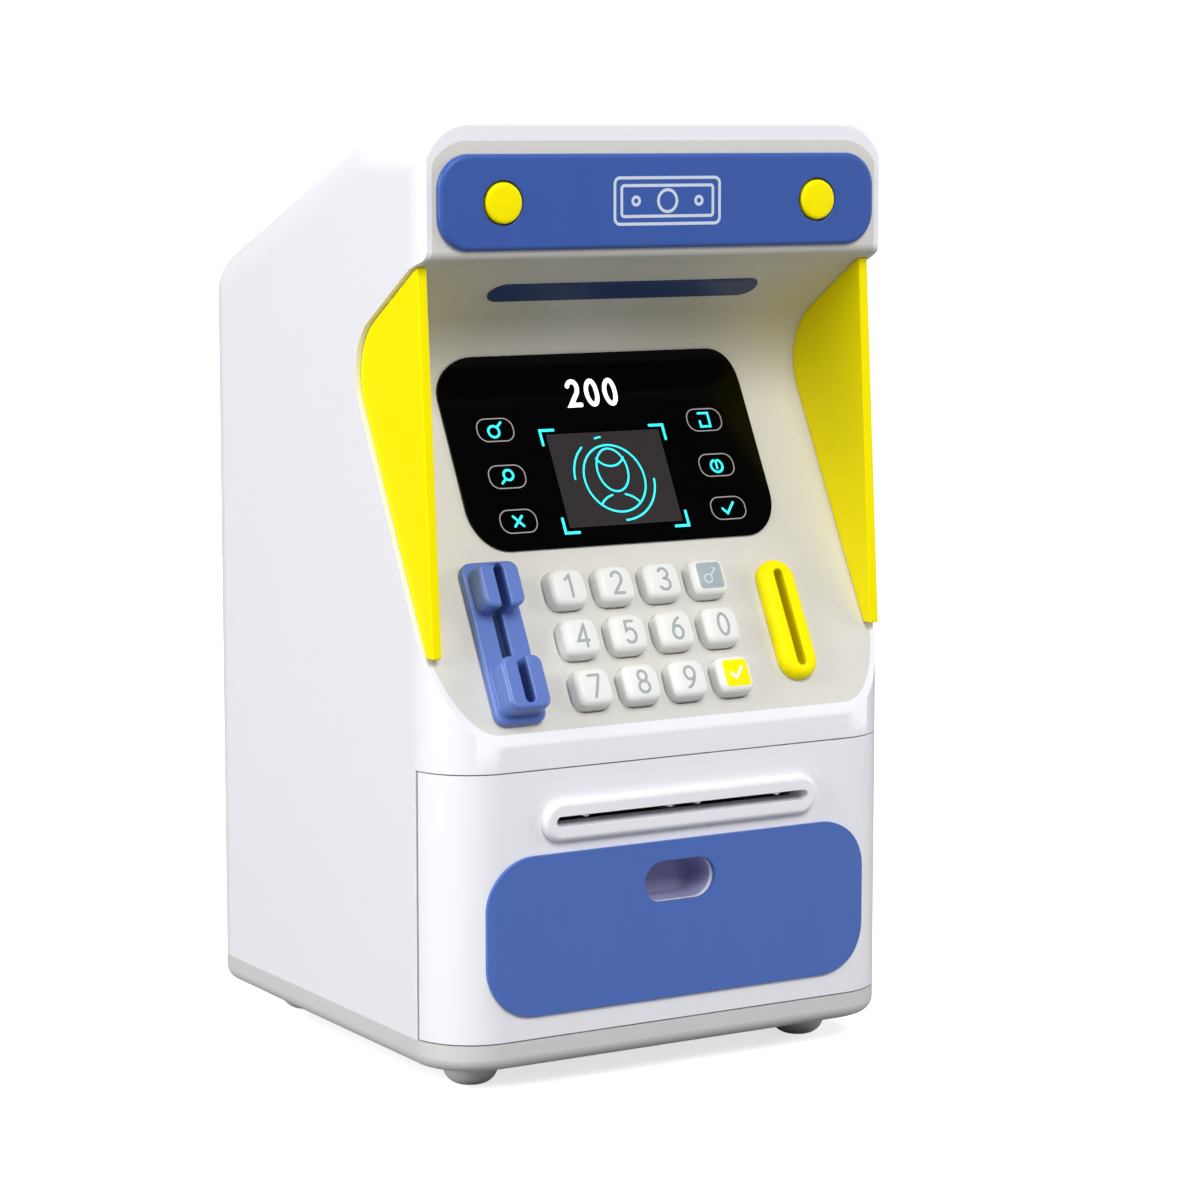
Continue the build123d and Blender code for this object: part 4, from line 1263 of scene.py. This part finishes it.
class BuildRear(Operator):
    """Prints dark crosses on the screws as painted shade of their cross recesses, and the power switch's
    marks on the rear
    """

    bl_idname = "cash_machine.build_rear"
    bl_label = "Rear marks"

    def execute(self, context):
        screw_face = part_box("case_screws")[1].y / MM
        cover_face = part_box("rear_cover")[1].y / MM

        def on_screws(x, y, out):
            return Vector((x, screw_face + out, y)) * MM

        def on_cover(x, y, out):
            return Vector((x, cover_face + out, y)) * MM

        # Dark crosses on the screw heads: painted shade standing in for the cross recesses
        recess_shade = []
        for x, z in REAR_SCREWS:
            recess_shade.append((line((x - 1.5, z), (x + 1.5, z)), False))
            recess_shade.append((line((x, z - 1.5), (x, z + 1.5)), False))
        body = NODES["case_screws"]["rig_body"]
        draw("screw_recess_painted_shade", recess_shade, 0.4, on_screws, body, "switch_black")
        low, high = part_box("switch_knob")
        middle_x = (low.x + high.x) / 2 / MM
        height = (low.z + high.z) / 2 / MM
        marks = [
            (arc(middle_x + 12.0, height, 1.3, 1.6, 0, 345), True),
            (line((middle_x - 9.0, height - 1.6), (middle_x - 9.0, height + 1.6)), False),
        ]
        draw("switch_marks", marks, 0.25, on_cover, NODES["rear_cover"]["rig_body"], "digit_ink")
        return {"FINISHED"}


class BuildStage(Operator):
    """Sets the pale floor, the camera and the soft lights"""

    bl_idname = "cash_machine.build_stage"
    bl_label = "Stage"

    def execute(self, context):
        scene = context.scene
        stage = look().stage
        scene.view_settings.view_transform = "Standard"
        self.floor()
        camera_data = bpy.data.cameras.new("camera")
        camera_data.sensor_width = 36
        camera_data.lens = stage.lens
        camera = bpy.data.objects.new("camera", camera_data)
        camera.location = stage.camera_place
        camera.rotation_euler = (math.pi / 2 - stage.camera_tilt, 0, -stage.camera_turn)
        scene.collection.objects.link(camera)
        scene.camera = camera
        self.soft_light("key_light", (-0.15, -1.6, 1.5), 1.0, 32)
        self.soft_light("fill_light", (1.8, -0.8, 0.55), 1.0, 12)
        self.soft_light("top_light", (0.1, 0.2, 1.8), 1.4, 9)
        self.soft_light("side_light", (-1.8, -0.1, 0.8), 1.2, 32)
        self.soft_light("back_light", (0.5, 1.7, 1.3), 1.2, 14)
        world = bpy.data.worlds.new("studio")
        scene.world = world
        world.use_nodes = True
        tree = world.node_tree
        seen = node(tree, "ShaderNodeLightPath", (-500, 0)).outputs["Is Camera Ray"]
        strength = node(
            tree,
            "ShaderNodeMapRange",
            (-250, 0),
            {"Value": seen, "To Min": stage.room_light, "To Max": 1.0},
        ).outputs["Result"]
        background = tree.nodes["Background"]
        background.inputs["Color"].default_value = (1.0, 1.0, 1.0, 1)
        tree.links.new(strength, background.inputs["Strength"])
        return {"FINISHED"}

    def floor(self):
        """A wide floor that curves up behind the object."""
        width, front_y, back_y, top_z, bend = 6.0, -3.0, 2.2, 3.0, 0.8
        section = [(front_y, 0.0), (0.0, 0.0)]
        for i in range(17):
            turn = math.radians(90 * i / 16)
            section.append((back_y - bend + bend * math.sin(turn), bend - bend * math.cos(turn)))
        section.append((back_y, top_z))
        verts = []
        for y, z in section:
            verts += [(-width, y, z), (width, y, z)]
        faces = [(2 * i, 2 * i + 1, 2 * i + 3, 2 * i + 2) for i in range(len(section) - 1)]
        mesh = bpy.data.meshes.new("floor")
        mesh.from_pydata(verts, [], faces)
        mesh.shade_smooth()
        mesh.materials.append(self.paper())
        floor = bpy.data.objects.new("floor", mesh)
        bpy.context.scene.collection.objects.link(floor)
        floor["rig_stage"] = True

    def paper(self):
        """White paper that looks brighter than the light it throws, most of all far off."""
        material, tree, shader = new_material("floor_paper")
        seen = node(tree, "ShaderNodeLightPath", (-500, 0)).outputs["Is Camera Ray"]
        tone = node(
            tree,
            "ShaderNodeMix",
            (-200, 0),
            {0: seen, 6: (0.24, 0.24, 0.25, 1), 7: (0.9, 0.9, 0.9, 1)},
            data_type="RGBA",
        )
        tree.links.new(tone.outputs[2], shader.inputs["Base Color"])
        place = node(tree, "ShaderNodeTexCoord", (-900, -400)).outputs["Object"]
        away = node(tree, "ShaderNodeVectorMath", (-700, -400), {0: place}, operation="LENGTH")
        far = {"Value": away.outputs["Value"], "From Min": 0.4, "From Max": 1.4, "To Min": 0.7, "To Max": 1.0}
        level = node(tree, "ShaderNodeMapRange", (-450, -400), far).outputs["Result"]
        glow = node(tree, "ShaderNodeMath", (-200, -300), {0: seen, 1: level}, operation="MULTIPLY")
        shader.inputs["Emission Color"].default_value = (1, 1, 1, 1)
        tree.links.new(glow.outputs[0], shader.inputs["Emission Strength"])
        shader.inputs["Roughness"].default_value = 0.8
        shader.inputs["Specular IOR Level"].default_value = 0.1
        return material

    def soft_light(self, name, place, size, power):
        """A square soft light aimed at the object's middle."""
        data = bpy.data.lights.new(name, "AREA")
        data.shape = "SQUARE"
        data.size = size
        data.energy = power
        lamp = bpy.data.objects.new(name, data)
        lamp.location = place
        aim = Vector((0, 0, 0.13)) - Vector(place)
        lamp.rotation_euler = aim.to_track_quat("-Z", "Y").to_euler()
        bpy.context.scene.collection.objects.link(lamp)


class CashMachinePanel(Panel):
    """The build steps of the toy cash machine"""

    bl_idname = "VIEW3D_PT_cash_machine"
    bl_label = "Cash machine"
    bl_space_type = "VIEW_3D"
    bl_region_type = "UI"
    bl_category = "Cash machine"

    def draw(self, context):
        for step in STEPS:
            self.layout.operator(step.bl_idname)


STEPS = (
    FinishFrame,
    SoftenMouldings,
    BuildKeys,
    PrintKeys,
    PrintScreen,
    BuildHeader,
    BuildRear,
    BuildStage,
)
SETTINGS = (CashMachineColours, CashMachineSizes, CashMachineStage, CashMachineSettings)
CLASSES = SETTINGS + STEPS + (CashMachinePanel,)


def register():
    """Adds the classes and the settings."""
    for kind in CLASSES:
        bpy.utils.register_class(kind)
    bpy.types.Scene.cash_machine = PointerProperty(type=CashMachineSettings)


def unregister():
    """Removes the settings and the classes."""
    del bpy.types.Scene.cash_machine
    for kind in reversed(CLASSES):
        bpy.utils.unregister_class(kind)


def main():
    """Builds everything."""
    register()
    bpy.ops.cash_machine.finish_frame()
    bpy.ops.cash_machine.soften_mouldings()
    bpy.ops.cash_machine.build_keys()
    bpy.ops.cash_machine.print_keys()
    bpy.ops.cash_machine.print_screen()
    bpy.ops.cash_machine.build_header()
    bpy.ops.cash_machine.build_rear()
    bpy.ops.cash_machine.build_stage()
    boxes = {"cad": CAD_BOX, "visual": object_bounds()}
    plain = {name: [list(corner) for corner in box] for name, box in boxes.items()}


if __name__ == "__main__":
    main()
